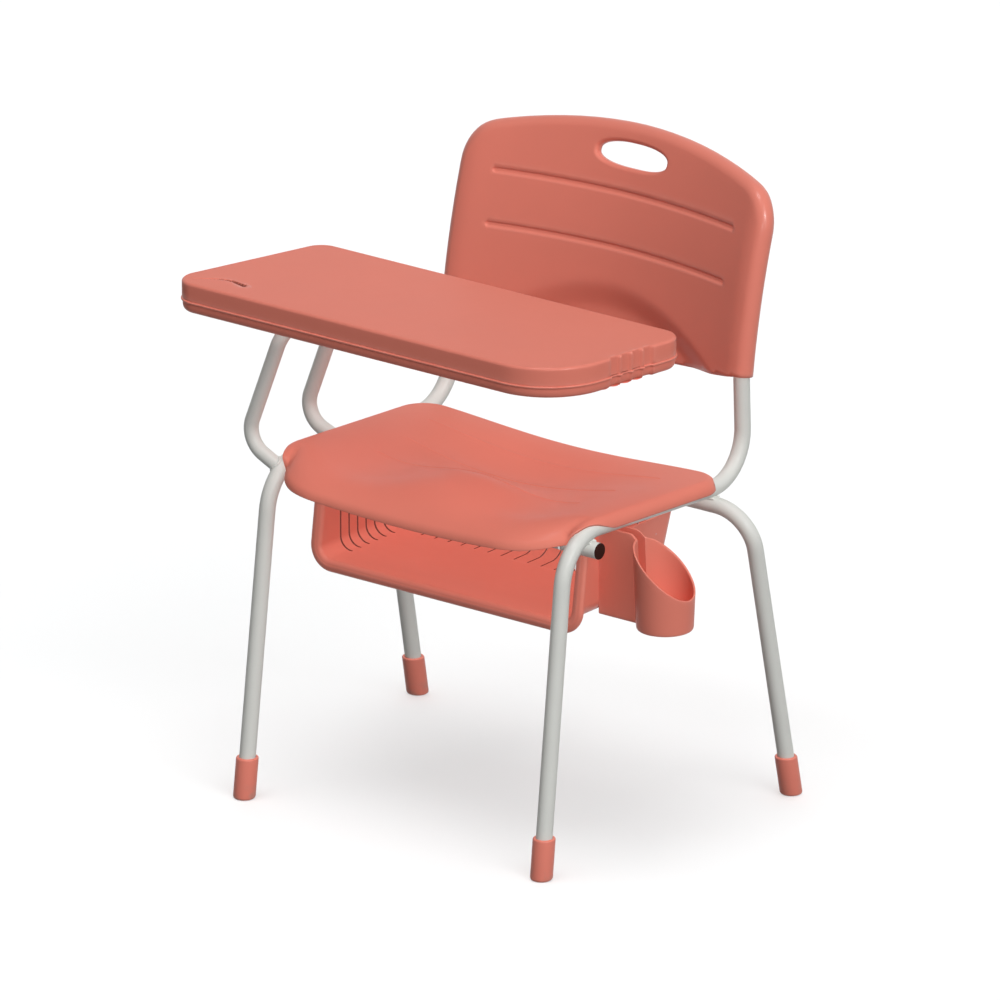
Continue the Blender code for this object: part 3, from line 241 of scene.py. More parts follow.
floor_finish, board = new_finish("pale_floor")
glow = board.blended(seen_directly(board), BLACK, FLOOR_GLOW)
floor_grey = board.blended(seen_directly(board), FLOOR_BOUNCE, FLOOR_SEEN)
sockets = {"Base Color": floor_grey, "Roughness": 0.9, "Specular IOR Level": 0.0}
board.surface({**sockets, "Emission Color": glow, "Emission Strength": 1.0})
floor_mesh = bpy.data.meshes.new("floor")
signs = ((-1, -1), (1, -1), (1, 1), (-1, 1))
floor_mesh.from_pydata([(x * FLOOR_REACH, y * FLOOR_REACH, 0) for x, y in signs], [], [(0, 1, 2, 3)])
floor_mesh.materials.append(floor_finish)
floor = put("floor", floor_mesh)
floor_only = bpy.data.collections.new("floor_only")
floor_only.objects.link(floor)
lamps["floor_sun"].light_linking.receiver_collection = floor_only
print("suns", list(SUNS))

# %% [markdown]
# ## Coral plastic
# The shells are moulded polypropylene, coloured through. Close up it has a very fine grain from the
# eroded mould, the pigment drifts a little over a hand's width, and edges that are handled go pale
# and smooth; that pale edge colour is also a painted highlight on the rounded edges. A flat colour
# would look like card, so three noises of different size drive the colour, the gloss and the bump,
# and the mesh's own pointiness finds the edges.

# %% Coral plastic
CORAL = (0.700, 0.205, 0.150)
WORN_AND_HIGHLIT_CORAL = (0.78, 0.32, 0.25, 1.0)
FLOOR_DUST = (0.36, 0.24, 0.20, 1.0)


def shade(colour, factor):
    return (*[channel * factor for channel in colour], 1.0)


def coral_plastic(name, grain=0.10, gloss=0.40, rubbed_and_highlit=0.35, dusty=0.0, tone=1.0, shine=0.03):
    """Moulded coral: grain is the mould's texture, rubbed_and_highlit the pale edges, which are wear and also
    a painted highlight, dusty the dirt at the feet.
    """
    finish, board = new_finish(name)
    where = board.place()
    pigment = board.noise(where, 9.0, 3.0)
    mould_grain = board.noise(where, 1400.0, 2.0)
    handling = board.noise(where, 60.0, 5.0)
    pointiness = board.node("ShaderNodeNewGeometry", {}, {}, "Pointiness")
    # Pale edges: handling wear, and also a painted highlight on the rounded edges.
    edge = board.between(pointiness, 0.515, 0.60) * board.between(handling, 0.35, 0.65) * rubbed_and_highlit
    polish = board.between(pointiness, 0.505, 0.525) * 0.3
    colour = board.blended(pigment, shade(CORAL, 0.965 * tone), shade(CORAL, 1.035 * tone))
    colour = board.blended(edge, colour, WORN_AND_HIGHLIT_CORAL)
    rough = gloss + (pigment - 0.5) * 0.10 + (handling - 0.5) * 0.08 - edge * 0.10
    if dusty > 0.0:
        height = board.node("ShaderNodeSeparateXYZ", {}, {"Vector": where}, "Z")
        dust = (1 - board.between(height, 0.002, 0.030)) * board.between(handling, 0.40, 0.70) * dusty
        colour = board.blended(dust, colour, FLOOR_DUST)
        rough = rough + dust * 0.25
    sockets = {"Base Color": colour, "Roughness": rough, "Normal": board.bump(grain, 0.0004, mould_grain)}
    sockets.update({"IOR": 1.49, "Specular IOR Level": shine, "Coat Weight": polish, "Coat Roughness": 0.20})
    board.surface(sockets)
    return finish


shell_coral = coral_plastic("shell_coral")
back_coral = coral_plastic("back_coral", gloss=0.33, shine=0.12)
tablet_coral = coral_plastic("tablet_coral", grain=0.07, gloss=0.38, rubbed_and_highlit=0.45)
basket_coral = coral_plastic("basket_coral", grain=0.06, gloss=0.38, rubbed_and_highlit=0.25, shine=0.10)
# A darker coral: painted shade inside the basket's slots and in the pen groove's deep end.
painted_shade_coral = coral_plastic("painted_shade_coral", rubbed_and_highlit=0.0, tone=0.42)
cap_coral = coral_plastic("cap_coral", grain=0.12, gloss=0.42, rubbed_and_highlit=0.40, dusty=0.5, shine=0.10)
print("coral finishes ready, lightest", [round(channel, 3) for channel in shade(CORAL, 1.035)])

# %% [markdown]
# ## Painted and plated steel
# The tubes are powder coated: a warm light grey with the faint orange peel that powder leaves when it
# melts. The fasteners are zinc plated, which is a dull metal with a slight cloud. The plugs in the
# crossbar are dark brown rubbery plastic. For the last two, one noise is enough.

# %% Painted and plated steel
POWDER_GREY = (0.630, 0.636, 0.604)
SPECK_GREY = (0.42, 0.42, 0.40, 1.0)
ZINC_TONES = ((0.52, 0.53, 0.54, 1.0), (0.70, 0.70, 0.69, 1.0))
PLUG_TONES = ((0.022, 0.006, 0.004, 1.0), (0.036, 0.012, 0.009, 1.0))


def grey_powder_coat(name):
    finish, board = new_finish(name)
    where = board.place()
    peel = board.noise(where, 420.0, 1.0)
    drift = board.noise(where, 16.0, 4.0)
    specks = board.between(board.noise(where, 700.0, 0.0), 0.70, 0.78) * 0.10
    colour = board.blended(drift, shade(POWDER_GREY, 0.97), shade(POWDER_GREY, 1.03))
    colour = board.blended(specks, colour, SPECK_GREY)
    rough = 0.36 + (drift - 0.5) * 0.10 + specks * 0.6
    sockets = {"Base Color": colour, "Roughness": rough, "Normal": board.bump(0.07, 0.0006, peel)}
    board.surface({**sockets, "Specular IOR Level": 0.22})
    return finish


def clouded(name, scale, tones, gloss, drift, relief, sockets):
    """A finish whose colour, gloss and bump all follow one noise."""
    finish, board = new_finish(name)
    cloud = board.noise(board.place(), scale, 4.0)
    varying = {"Base Color": board.blended(cloud, *tones), "Roughness": gloss + cloud * drift}
    board.surface({**varying, "Normal": board.bump(relief, 0.0003, cloud), **sockets})
    return finish


powder_grey = grey_powder_coat("powder_grey")
zinc = clouded("zinc", 180.0, ZINC_TONES, 0.30, 0.18, 0.08, {"Metallic": 0.92})
plug_brown = clouded("plug_brown", 320.0, PLUG_TONES, 0.50, 0.20, 0.10, {"Specular IOR Level": 0.06})
print("steel finishes", powder_grey.name, zinc.name, plug_brown.name)

# %% [markdown]
# ## Paths, bends and pieces
# Bent tubes and moulded outlines have the same geometry: straight runs joined by arcs. One helper
# rounds the corners of a path, another spaces points along it evenly, and a third joins rings of points
# into a solid. Every finished mesh becomes a piece the same way: it is moved by SHIFT, told which body
# of the frame carries it, and which node of the frame it stands for.

# %% Paths and pieces
MERGE = 0.00001
SIDES = {"right": -1, "left": 1}


def smoothstep(low, high, value):
    share = np.clip((value - low) / (high - low), 0.0, 1.0)
    return share * share * (3 - 2 * share)


def filleted(points, radii, closed=False, steps=16):
    """A path through points with a bend of the given radius at each corner. 0 keeps a corner sharp."""
    places = [Vector(point) for point in points]
    count = len(places)
    path = []
    for index, (corner, radius) in enumerate(zip(places, radii)):
        if radius == 0 or (not closed and index in (0, count - 1)):
            path.append(corner)
            continue
        back = (places[index - 1] - corner).normalized()
        ahead = (places[(index + 1) % count] - corner).normalized()
        half = back.angle(ahead) / 2
        middle = corner + (back + ahead).normalized() * radius / math.sin(half)
        start = corner + back * radius / math.tan(half) - middle
        end = corner + ahead * radius / math.tan(half) - middle
        sweep = start.angle(end)
        for step in range(steps + 1):
            near = math.sin(sweep * (1 - step / steps)) / math.sin(sweep)
            far = math.sin(sweep * step / steps) / math.sin(sweep)
            path.append(middle + start * near + end * far)
    apart = [index for index in range(1, len(path)) if (path[index] - path[index - 1]).length > MERGE]
    return [path[index] for index in [0] + apart]


def evenly(path, step):
    """An open path with points at about equal steps, its ends kept."""
    lengths = [(far - near).length for near, far in zip(path, path[1:])]
    count = max(round(sum(lengths) / step), 1)
    made = [path[0]]
    index, passed = 0, 0.0
    for number in range(1, count):
        goal = sum(lengths) * number / count
        while passed + lengths[index] < goal:
            passed += lengths[index]
            index += 1
        made.append(path[index].lerp(path[index + 1], (goal - passed) / lengths[index]))
    return made + [path[-1]]


def closed_up(items):
    return items + items[:1]


def run_at(path, index, closed):
    """The way from the point before to the point after, as far as the path has them."""
    last = len(path) - 1
    before = path[index - 1] if closed or index > 0 else path[0]
    after = path[(index + 1) % len(path)] if closed or index < last else path[last]
    return after - before


def outward_normals(path, closed=True):
    """Outward unit normals along a flat path that runs anticlockwise."""
    runs = [run_at(path, index, closed) for index in range(len(path))]
    return [Vector((run.y, -run.x)).normalized() for run in runs]


def inset(loop, distance):
    return [point - normal * distance for point, normal in zip(loop, outward_normals(loop))]


def full_turn(steps):
    return [2 * math.pi * step / steps for step in range(steps)]


def circle(middle, side, other, radius, steps):
    return [middle + (side * math.cos(t) + other * math.sin(t)) * radius for t in full_turn(steps)]


def band(bm, near, far, closed=True):
    """A row of faces between two rows of vertices."""
    for index in range(len(near) if closed else len(near) - 1):
        after = (index + 1) % len(near)
        bm.faces.new((near[index], near[after], far[after], far[index]))


def loft_on(bm, near, rings):
    """Adds rows of faces from a rim of vertices through further rings, and gives the last of them."""
    for ring in rings:
        row = [bm.verts.new(point) for point in ring]
        band(bm, near, row)
        near = row
    return near


def lofted(rings, closed=False):
    """A solid through rings of equal count, with flat ends, or joined end to end when closed."""
    bm = bmesh.new()
    first = [bm.verts.new(point) for point in rings[0]]
    last = loft_on(bm, first, rings[1:])
    if closed:
        band(bm, last, first)
    else:
        bm.faces.new(first)
        bm.faces.new(last)
    return bm


def piece(name, mesh, finish, nodes, body="chair"):
    """Puts a mesh in the scene as a piece of the chair that stands for some nodes of the frame."""
    obj = put(name, mesh)
    obj.location = SHIFT
    mesh.materials.append(finish)
    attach(obj, body)
    if nodes:
        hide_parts(*nodes)
    print(name, len(mesh.polygons), "faces")
    return obj


def finished_mesh(bm, name, sharp=35.0):
    """A mesh from a bmesh, smooth except where faces meet more sharply than the given angle."""
    bmesh.ops.remove_doubles(bm, verts=bm.verts, dist=MERGE)
    bmesh.ops.recalc_face_normals(bm, faces=bm.faces)
    mesh = bpy.data.meshes.new(name)
    bm.to_mesh(mesh)
    bm.free()
    mesh.shade_smooth()
    mesh.set_sharp_from_angle(angle=math.radians(sharp))
    return mesh


def solid_piece(name, bm, finish, nodes=(), body="chair", sharp=35.0):
    return piece(name, finished_mesh(bm, name, sharp), finish, nodes, body)


def settle(obj):
    """Keeps the shape that an object's modifiers give, and drops the modifiers."""
    graph = bpy.context.evaluated_depsgraph_get()
    mesh = bpy.data.meshes.new_from_object(obj.evaluated_get(graph), depsgraph=graph)
    obj.modifiers.clear()
    obj.data = mesh


print("path helpers ready, points closer than", MERGE, "m are one")

# %% [markdown]
# ## The back's surface
# The back comes before the tubes because its rolled edges decide where the uprights run. Its seen face
# is a height field: how far it lies towards the sitter at each point across and up. It leans and
# curves rearward as it rises, it is hollow from side to side, a broad arch sinks in at the loins, and
# two shallow grooves run across. A formula is easier to keep true to the frame than a sculpted mesh.

# %% The back's surface
TUBE_RADIUS = 0.011
SHELL_WALL = 0.0035
ROLL_GAP = 0.0009
ROLL_RADIUS = TUBE_RADIUS + ROLL_GAP + SHELL_WALL
BACK_EDGE_X = 0.2380
BACK_BASE_Z = 0.570
BACK_BASE_Y = 0.1945
BACK_BASE_SLOPE = 0.13
BACK_PROFILE_RADIUS = 1.02
BACK_PLAN_RADIUS = 0.80
BACK_EDGE_BLEND = 0.020
BACK_BOTTOM_Z = 0.548
BACK_BOTTOM_RADIUS = 1.2
LUMBAR_TOP_Z = 0.643
LUMBAR_ARCH_RADIUS = 0.25
LUMBAR_DEPTH = 0.011
LUMBAR_RUN = 0.048
BACK_GROOVES = ((0.7540, 0.195), (0.6845, 0.193))
GROOVE_HALF = 0.0042
GROOVE_FLAT = 0.45
GROOVE_DEPTH = 0.0024
SLOPE_STEP = 0.0005


def back_smooth(across, up):
    """The back's face without its grooves, as minus Y."""
    rise = up - BACK_BASE_Z
    edge_y = BACK_BASE_Y + BACK_BASE_SLOPE * rise + rise * rise / (2 * BACK_PROFILE_RADIUS)
    inwards = np.maximum(BACK_EDGE_X - np.abs(across), 0.0)
    eased = inwards * inwards / (2 * BACK_EDGE_BLEND)
    inwards = np.where(inwards < BACK_EDGE_BLEND, eased, inwards - BACK_EDGE_BLEND / 2)
    hollow = (2 * BACK_EDGE_X * inwards - inwards * inwards) / (2 * BACK_PLAN_RADIUS)
    below_arch = LUMBAR_TOP_Z - across * across / (2 * LUMBAR_ARCH_RADIUS) - up
    return -(edge_y + hollow + LUMBAR_DEPTH * smoothstep(0.0, LUMBAR_RUN, below_arch))


def lines_distance(across, along, lines):
    """How far points lie from the nearest of some lines across the panel's middle."""
    aside = [np.maximum(np.abs(across) - half_length, 0.0) for _, half_length in lines]
    return np.minimum.reduce([np.hypot(past, along - line) for past, (line, _) in zip(aside, lines)])


def groove_distance(across, up):
    return lines_distance(across, up, BACK_GROOVES)


def back_forward(across, up):
    groove = 1 - smoothstep(GROOVE_HALF * GROOVE_FLAT, GROOVE_HALF, groove_distance(across, up))
    return back_smooth(across, up) - GROOVE_DEPTH * groove


def back_hem(across):
    return BACK_BOTTOM_Z + across * across / (2 * BACK_BOTTOM_RADIUS)


def back_place(across, up, forward):
    return Vector((across, -forward, up))


def slopes(height, point):
    right, left = height(point.x + SLOPE_STEP, point.y), height(point.x - SLOPE_STEP, point.y)
    above, below = height(point.x, point.y + SLOPE_STEP), height(point.x, point.y - SLOPE_STEP)
    return float((right - left) / (2 * SLOPE_STEP)), float((above - below) / (2 * SLOPE_STEP))


def rim_axis(point, height, radius=ROLL_RADIUS):
    """The centre of the rolled rim at a point of the outline, and the face's normal there."""
    first, second = slopes(height, point)
    normal = Vector((-first, -second, 1)).normalized()
    return Vector((point.x, point.y, float(height(point.x, point.y)))) - normal * radius, normal


print("back leans from", round(-float(back_smooth(0, 0.56)), 4), "to", round(-float(back_smooth(0, 0.82)), 4))

# %% [markdown]
# ## Bent tubes
# Each side of the frame is one tube: front leg, seat rail and back upright. A curve with a round bevel
# would draw it, but its ends stay closed discs. Here rings are carried along the path without
# twisting, and a few more rings at each end turn inwards and make the wall and the start of the bore.

# %% Bent tubes
TUBE_WALL = 0.0015
MOUTH_LIP, MOUTH_DEPTH = 0.0005, 0.012
CAP_FLOOR = 0.006
FIT_GAP = 0.0003
FRONT_FOOT, FRONT_LEAN = (0.246, -0.227), (-0.008, 0.122)
REAR_FOOT, REAR_LEAN = (0.311, 0.226), (-0.017, -0.203)
RAIL_HEIGHT = 0.4424
RAIL_SLOPE = -0.0633
FRONT_BEND, REAR_BEND, UPRIGHT_BEND = 0.070, 0.066, 0.12
UPRIGHT_END_Z = 0.745
REAR_BAR_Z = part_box("rear_leg_arch")[1].z - TUBE_RADIUS
REAR_BAR_Y = REAR_FOOT[1] + REAR_LEAN[1] * REAR_BAR_Z
BARS = {"front": (FRONT_BAR_Y, FRONT_BAR_Z), "rear": (REAR_BAR_Y, REAR_BAR_Z)}


def swept(path, radius, sides=40, bore=0.0, hint=None, closed=False):
    """Rings along a path as a bmesh. A bore opens the ends, and radius may be one number or one a point."""
    radii = [radius] * len(path) if isinstance(radius, float) else radius
    runs = [run_at(path, index, closed).normalized() for index in range(len(path))]
    stations = list(zip(path, runs, radii))
    if bore > 0.0:
        (start, run, size), (end, end_run, end_size) = stations[0], stations[-1]
        mouth = [(start + run * MOUTH_DEPTH, run, bore), (start, run, bore), (start, run, size - MOUTH_LIP)]
        tail = [(end, end_run, end_size - MOUTH_LIP), (end, end_run, bore)]
        tail.append((end - end_run * MOUTH_DEPTH, end_run, bore))
        stations[0] = (start + run * MOUTH_LIP, run, size)
        stations[-1] = (end - end_run * MOUTH_LIP, end_run, end_size)
        stations = mouth + stations + tail
    side = stations[0][1].orthogonal() if hint is None else hint
    rings = []
    for middle, run, size in stations:
        side = (side - run * side.dot(run)).normalized()
        rings.append(circle(middle, side, run.cross(side), size, sides))
        side = side if hint is None else hint
    return lofted(rings, closed)


def painted_tube(name, path, node, radius=TUBE_RADIUS):
    solid_piece(name, swept(path, radius, bore=radius - TUBE_WALL), powder_grey, [node])


rail_front_y = (FRONT_FOOT[1] + FRONT_LEAN[1] * RAIL_HEIGHT) / (1 - FRONT_LEAN[1] * RAIL_SLOPE)
RAIL_X = FRONT_FOOT[0] + FRONT_LEAN[0] * (RAIL_HEIGHT + RAIL_SLOPE * rail_front_y)


def rail_height(y):
    return RAIL_HEIGHT + RAIL_SLOPE * y


def leg_end(foot, lean, side):
    z = CAP_FLOOR + FIT_GAP + TUBE_RADIUS * math.hypot(*lean)
    return Vector((side * (foot[0] + lean[0] * z), foot[1] + lean[1] * z, z))


def upright_point(side, up):
    axis = rim_axis(Vector((BACK_EDGE_X, up)), back_smooth)[0]
    return back_place(side * axis.x, axis.y, axis.z)


def side_path(side):
    """The axis of a side tube, from the foot to the top of the upright."""
    hem_top = back_hem(BACK_EDGE_X)
    rise = (UPRIGHT_END_Z - hem_top) / 5
    low, second = upright_point(side, hem_top), upright_point(side, hem_top + rise)
    front_corner = (side * RAIL_X, rail_front_y, rail_height(rail_front_y))
    corners = [leg_end(FRONT_FOOT, FRONT_LEAN, side), front_corner]
    corners += [(side * RAIL_X, low.y, rail_height(low.y)), low, second]
    upper = [upright_point(side, hem_top + rise + rise * step / 3) for step in range(1, 13)]
    return filleted(corners, [0, FRONT_BEND, REAR_BEND, UPRIGHT_BEND, 0]) + upper


for word, side in SIDES.items():
    painted_tube(f"side_tube_{word}_painted", side_path(side), f"side_tube_{word}")

# %% [markdown]
# ## Rear arch, crossbar and plugs
# Both rear legs and the bar between them are one more bent tube. The front crossbar is straight and
# passes under the rails, and its ends show as short stubs with dark plugs. A plug is turned from a
# profile, as on a lathe.

# %% Rear arch, crossbar and plugs
FRONT_BAR_END = RAIL_X + 0.0165
ARCH_BEND = 0.055
PLUG_DEPTH = 0.015


def lathe(profile, steps=48):
    """A solid turned about Z from radii and heights, whose first and last points are on the axis."""
    bm = bmesh.new()
    rings = []
    for radius, z in profile:
        turns = full_turn(steps) if radius else [0.0]
        rings.append([bm.verts.new((radius * math.cos(t), radius * math.sin(t), z)) for t in turns])
    for near, far in zip(rings, rings[1:]):
        for index in range(steps):
            after = (index + 1) % steps
            corners = [near[index % len(near)], near[after % len(near)]]
            corners += [far[after % len(far)], far[index % len(far)]]
            bm.faces.new(list(dict.fromkeys(corners)))
    return bm


rear_foot = leg_end(REAR_FOOT, REAR_LEAN, 1)
rear_corner = Vector((REAR_FOOT[0] + REAR_LEAN[0] * REAR_BAR_Z, REAR_BAR_Y, REAR_BAR_Z))
mirror = Vector((-1, 1, 1))
arch_corners = [rear_foot, rear_corner, rear_corner * mirror, rear_foot * mirror]
arch_path = filleted(arch_corners, [0, ARCH_BEND, ARCH_BEND, 0], steps=20)
painted_tube("rear_arch_painted", arch_path, "rear_leg_arch")
bar_ends = [Vector((side * FRONT_BAR_END, FRONT_BAR_Y, FRONT_BAR_Z)) for side in (-1, 1)]
painted_tube("crossbar_painted", evenly(bar_ends, 0.04), "front_crossbar")
plug_bore = TUBE_RADIUS - TUBE_WALL - FIT_GAP
plug_outline = [(0, 0.0025), (TUBE_RADIUS, 0.0022), (TUBE_RADIUS, FIT_GAP)]
plug_outline += [(plug_bore, FIT_GAP), (plug_bore, -PLUG_DEPTH), (0, -PLUG_DEPTH)]
plug_profile = filleted(plug_outline, [0, 0.0014, 0.0003, 0, 0.001, 0], steps=6)
for word, side in SIDES.items():
    bm = lathe(plug_profile)
    at_end = Matrix.Translation((side * FRONT_BAR_END, FRONT_BAR_Y, FRONT_BAR_Z))
    bmesh.ops.transform(bm, matrix=at_end @ Matrix.Rotation(side * math.pi / 2, 4, "Y"), verts=bm.verts)
    solid_piece(f"plug_{word}_moulded", bm, plug_brown, [f"crossbar_plug_{word}"])

# %% [markdown]
# ## Tablet arm and welds
# The arm is a U of slimmer tube: out from the rail, up to the hinge bar and back down. On the real chair
# its ends are cut to fit the rail and welded. The weld is found here by walking round the arm's tube
# and sliding each point outwards until it leaves the rail, and a rippled bead is swept along that line.

# %% Tablet arm and welds
ARM_RADIUS = 0.010
ARM_YS = (-0.150, -0.029)
ARM_ELBOW = (-0.3017, 0.4655)
ELBOW_BEND, TOP_BEND = 0.035, 0.030
HINGE_X, HINGE_Z = -0.2375, 0.633
WELD_STEPS, WELD_HALVINGS, WELD_REACH = 48, 24, 0.04
LEG_TOP_Z = 0.2
BEAD_RADIUS, BEAD_RIPPLE = 0.0021, 0.0003
SOFT_BEAD = 80.0
right_rail = side_path(-1)


def rail_axis_height(y):
    """The height of the right side tube's axis above this Y."""
    level_part = [point for point in right_rail if LEG_TOP_Z < point.z < rail_height(0) + 2 * TUBE_RADIUS]
    for near, far in zip(level_part, level_part[1:]):
        if near.y <= y <= far.y:
            return near.z + (far.z - near.z) * (y - near.y) / (far.y - near.y)
    return rail_height(y)


def rail_distance(point):
    best = 1.0
    for near, far in zip(right_rail, right_rail[1:]):
        run = far - near
        share = min(max((point - near).dot(run) / run.length_squared, 0.0), 1.0)
        best = min(best, (point - near - run * share).length)
    return best


def weld_line(start, run, radius):
    """Where a tube that leaves the rail meets its surface, as a closed line."""
    side = run.orthogonal().normalized()
    line = []
    for rim in circle(start, side, run.cross(side), radius, WELD_STEPS):
        low, high = 0.0, WELD_REACH
        for _ in range(WELD_HALVINGS):
            middle = (low + high) / 2
            buried = rail_distance(rim + run * middle) < TUBE_RADIUS
            low, high = (middle, high) if buried else (low, middle)
        line.append(rim + run * low)
    return line


arm_legs = []
for y in ARM_YS:
    corners = ((-RAIL_X, rail_axis_height(y)), ARM_ELBOW, (HINGE_X, HINGE_Z))
    arm_legs.append([Vector((x, y, z)) for x, z in corners])
arm_corners = arm_legs[0] + arm_legs[1][::-1]
arm_path = filleted(arm_corners, [0, ELBOW_BEND, TOP_BEND, TOP_BEND, ELBOW_BEND, 0])
painted_tube("tablet_arm_painted", arm_path, "tablet_arm", ARM_RADIUS)
for word, (start, elbow, _) in zip(("front", "rear"), arm_legs):
    run = (elbow - start).normalized()
    line = weld_line(start, run, ARM_RADIUS)
    ripple = [BEAD_RADIUS + BEAD_RIPPLE * math.sin(step * math.pi * 2 / 3) for step in range(len(line))]
    bead = swept(line, ripple, sides=10, hint=run, closed=True)
    solid_piece(f"arm_weld_{word}", bead, powder_grey, sharp=SOFT_BEAD)

# %% [markdown]
# ## Welds of the two crossbars
# The crossbars touch the rails from below. Each touch has a short bead in front and behind, so eight
# beads in all. They are rods with rippled, tapering radii, and they matter only from below and behind.

# %% Crossbar welds
BEAD_HALF, BEAD_THICK = 0.0075, 0.0024
BEAD_WAVE, BEAD_WAVE_STEP = 0.0002, 2.1
BEAD_ASIDE, BEAD_ABOVE = 0.0062, 0.0100


def short_bead(middle):
    """A weld bead along X, rippled and drawn out to points."""
    shares = [step / 10 - 1 for step in range(21)]
    path = [middle + Vector((share * BEAD_HALF, 0, 0)) for share in shares]
    taper = [BEAD_THICK * math.sqrt(max(1 - share * share, 0.02)) for share in shares]
    radii = [size + BEAD_WAVE * math.sin(step * BEAD_WAVE_STEP) for step, size in enumerate(taper)]
    return swept(path, radii, sides=12)


for place_word, (bar_y, bar_z) in BARS.items():
    for word, side in SIDES.items():
        for number, aside in enumerate((-BEAD_ASIDE, BEAD_ASIDE), 1):
            bead = short_bead(Vector((side * RAIL_X, bar_y + aside, bar_z + BEAD_ABOVE)))
            solid_piece(f"bar_weld_{place_word}_{word}_{number}", bead, powder_grey, sharp=SOFT_BEAD)

# %% [markdown]
# ## Foot caps
# Each leg ends in a moulded cap. The legs lean, but a cap stands flat on the floor, so it is turned
# upright on the lathe and then sheared to the leg's lean, which keeps its base level. A thin bead at
# its mouth and a soft shoulder catch the light.

# %% Foot caps
CAP_RADIUS = 0.015
CAP_HEIGHT = 0.056
FEET = {"front": (FRONT_FOOT, FRONT_LEAN), "rear": (REAR_FOOT, REAR_LEAN)}

for word, (foot, lean) in FEET.items():
    bore = TUBE_RADIUS * math.sqrt(1 + lean[0] ** 2 + lean[1] ** 2) + FIT_GAP
    outline = [(0, CAP_FLOOR), (bore, CAP_FLOOR), (bore, CAP_HEIGHT)]
    outline += [(CAP_RADIUS, CAP_HEIGHT), (CAP_RADIUS, 0), (0, 0)]
    profile = filleted(outline, [0, 0, 0.0004, 0.0022, 0.0042, 0], steps=8)
    for side_word, side in SIDES.items():
        bm = lathe(profile, 64)
        shear = Matrix.Translation((side * foot[0], foot[1], 0))
        shear[0][2], shear[1][2] = side * lean[0], lean[1]
        bmesh.ops.transform(bm, matrix=shear, verts=bm.verts)
        solid_piece(f"foot_{word}_{side_word}_moulded", bm, cap_coral, [f"foot_cap_{word}_{side_word}"])

# %% [markdown]
# ## A moulded panel with rolled edges
# Seat and back are thin panels whose edges roll round the tubes. A subdivided plane would need its
# outline trimmed, so the outline, the holes and a field of points are triangulated together, points
# closer together along grooves, and every point is lifted by the height formula. The edge then rolls
# on from the outline in rows about the tube's axis, and Solidify gives the wall. Notches and slots are
# cut with Booleans, and what a cut leaves hanging is dropped.

# %% Panel helpers
PANEL_STEP = 0.005
RIM_CLEAR, HOLE_CLEAR = PANEL_STEP * 0.6, PANEL_STEP * 0.5
DETAIL_STEP = 0.0011
DETAIL_REACH = 0.0048
ROLL_STEPS, BEYOND_STEPS = 18, 4
CUT_MERGE = 0.00002


def inside(loop, points):
    """Which points lie in a loop, by counting the edges that a ray from each point crosses."""
    crossed = np.zeros(len(points), bool)
    x, y = points[:, 0], points[:, 1]
    for index, near in enumerate(loop):
        far = loop[index - 1]
        if near.y != far.y:
            reach = near.x + (far.x - near.x) * (y - near.y) / (far.y - near.y)
            crossed ^= ((near.y > y) != (far.y > y)) & (x < reach)
    return crossed


def lattice(loop, step):
    """Points in rows over the box round a loop."""
    spans = [np.arange(min(p[axis] for p in loop), max(p[axis] for p in loop), step) for axis in (0, 1)]
    first, second = np.meshgrid(*spans)
    return np.column_stack([first.ravel(), second.ravel()])


def moulded_panel(outline, holes, height, place, detail):
    """A bmesh of the panel's seen face, and its rim vertices in the order of the outline and of each hole."""
    flat, edges, spans = [], [], []
    for loop in [outline, *holes]:
        first, count = len(flat), len(loop)
        flat += loop
        edges += [(first + index, first + (index + 1) % count) for index in range(count)]
        spans.append(slice(first, first + count))
    coarse, fine = lattice(outline, PANEL_STEP), lattice(outline, DETAIL_STEP)
    coarse = coarse[detail(coarse[:, 0], coarse[:, 1]) > DETAIL_REACH + DETAIL_STEP]
    fine = fine[detail(fine[:, 0], fine[:, 1]) <= DETAIL_REACH]
    field = np.concatenate([coarse, fine])
    keep = inside(inset(outline, RIM_CLEAR), field)
    for hole in holes:
        keep &= ~inside(inset(hole, -HOLE_CLEAR), field)
    flat += [Vector(point) for point in field[keep].tolist()]
    points, _, faces, _, _, _ = delaunay_2d_cdt(flat, edges, [], 1, MERGE)
    spots = np.array([tuple(point) for point in points])
    heights = height(spots[:, 0], spots[:, 1])
    bm = bmesh.new()
    verts = [bm.verts.new(place(x, y, z)) for (x, y), z in zip(spots.tolist(), heights.tolist())]
    middles = np.array([spots[list(face)].mean(0) for face in faces])
    dropped = np.zeros(len(faces), bool)
    for hole in holes:
        dropped |= inside(hole, middles)
    for face, drop in zip(faces, dropped):
        if not drop:
            bm.faces.new([verts[index] for index in face])
    return bm, [verts[span] for span in spans]


def lying(x, y, z):
    """The place of a point on a panel that lies level."""
    return Vector((x, y, z))


def roll_on(bm, path, rim, normals, height, place, turn_at, radius, beyond=0.0):
    """Rolls an edge away from the seen face in rows, by an angle for each point, then straight on."""
    stations = []
    for point, outward in zip(path, normals):
        axis, normal = rim_axis(point, height, radius)
        climb = Vector(slopes(height, point)).dot(outward)
        away = Vector((outward.x, outward.y, climb)).normalized()
        stations.append((axis, normal, away, turn_at(point.x, point.y)))
    for step in range(1, ROLL_STEPS + (BEYOND_STEPS if beyond > 0.0 else 0) + 1):
        further = beyond * max(step - ROLL_STEPS, 0) / BEYOND_STEPS
        row = []
        for axis, normal, away, whole in stations:
            turn = whole * min(step / ROLL_STEPS, 1.0)
            spot = axis + (normal * math.cos(turn) + away * math.sin(turn)) * radius
            spot += (away * math.cos(turn) - normal * math.sin(turn)) * further
            row.append(bm.verts.new(place(*spot)))
        band(bm, rim, row, closed=False)
        rim = row


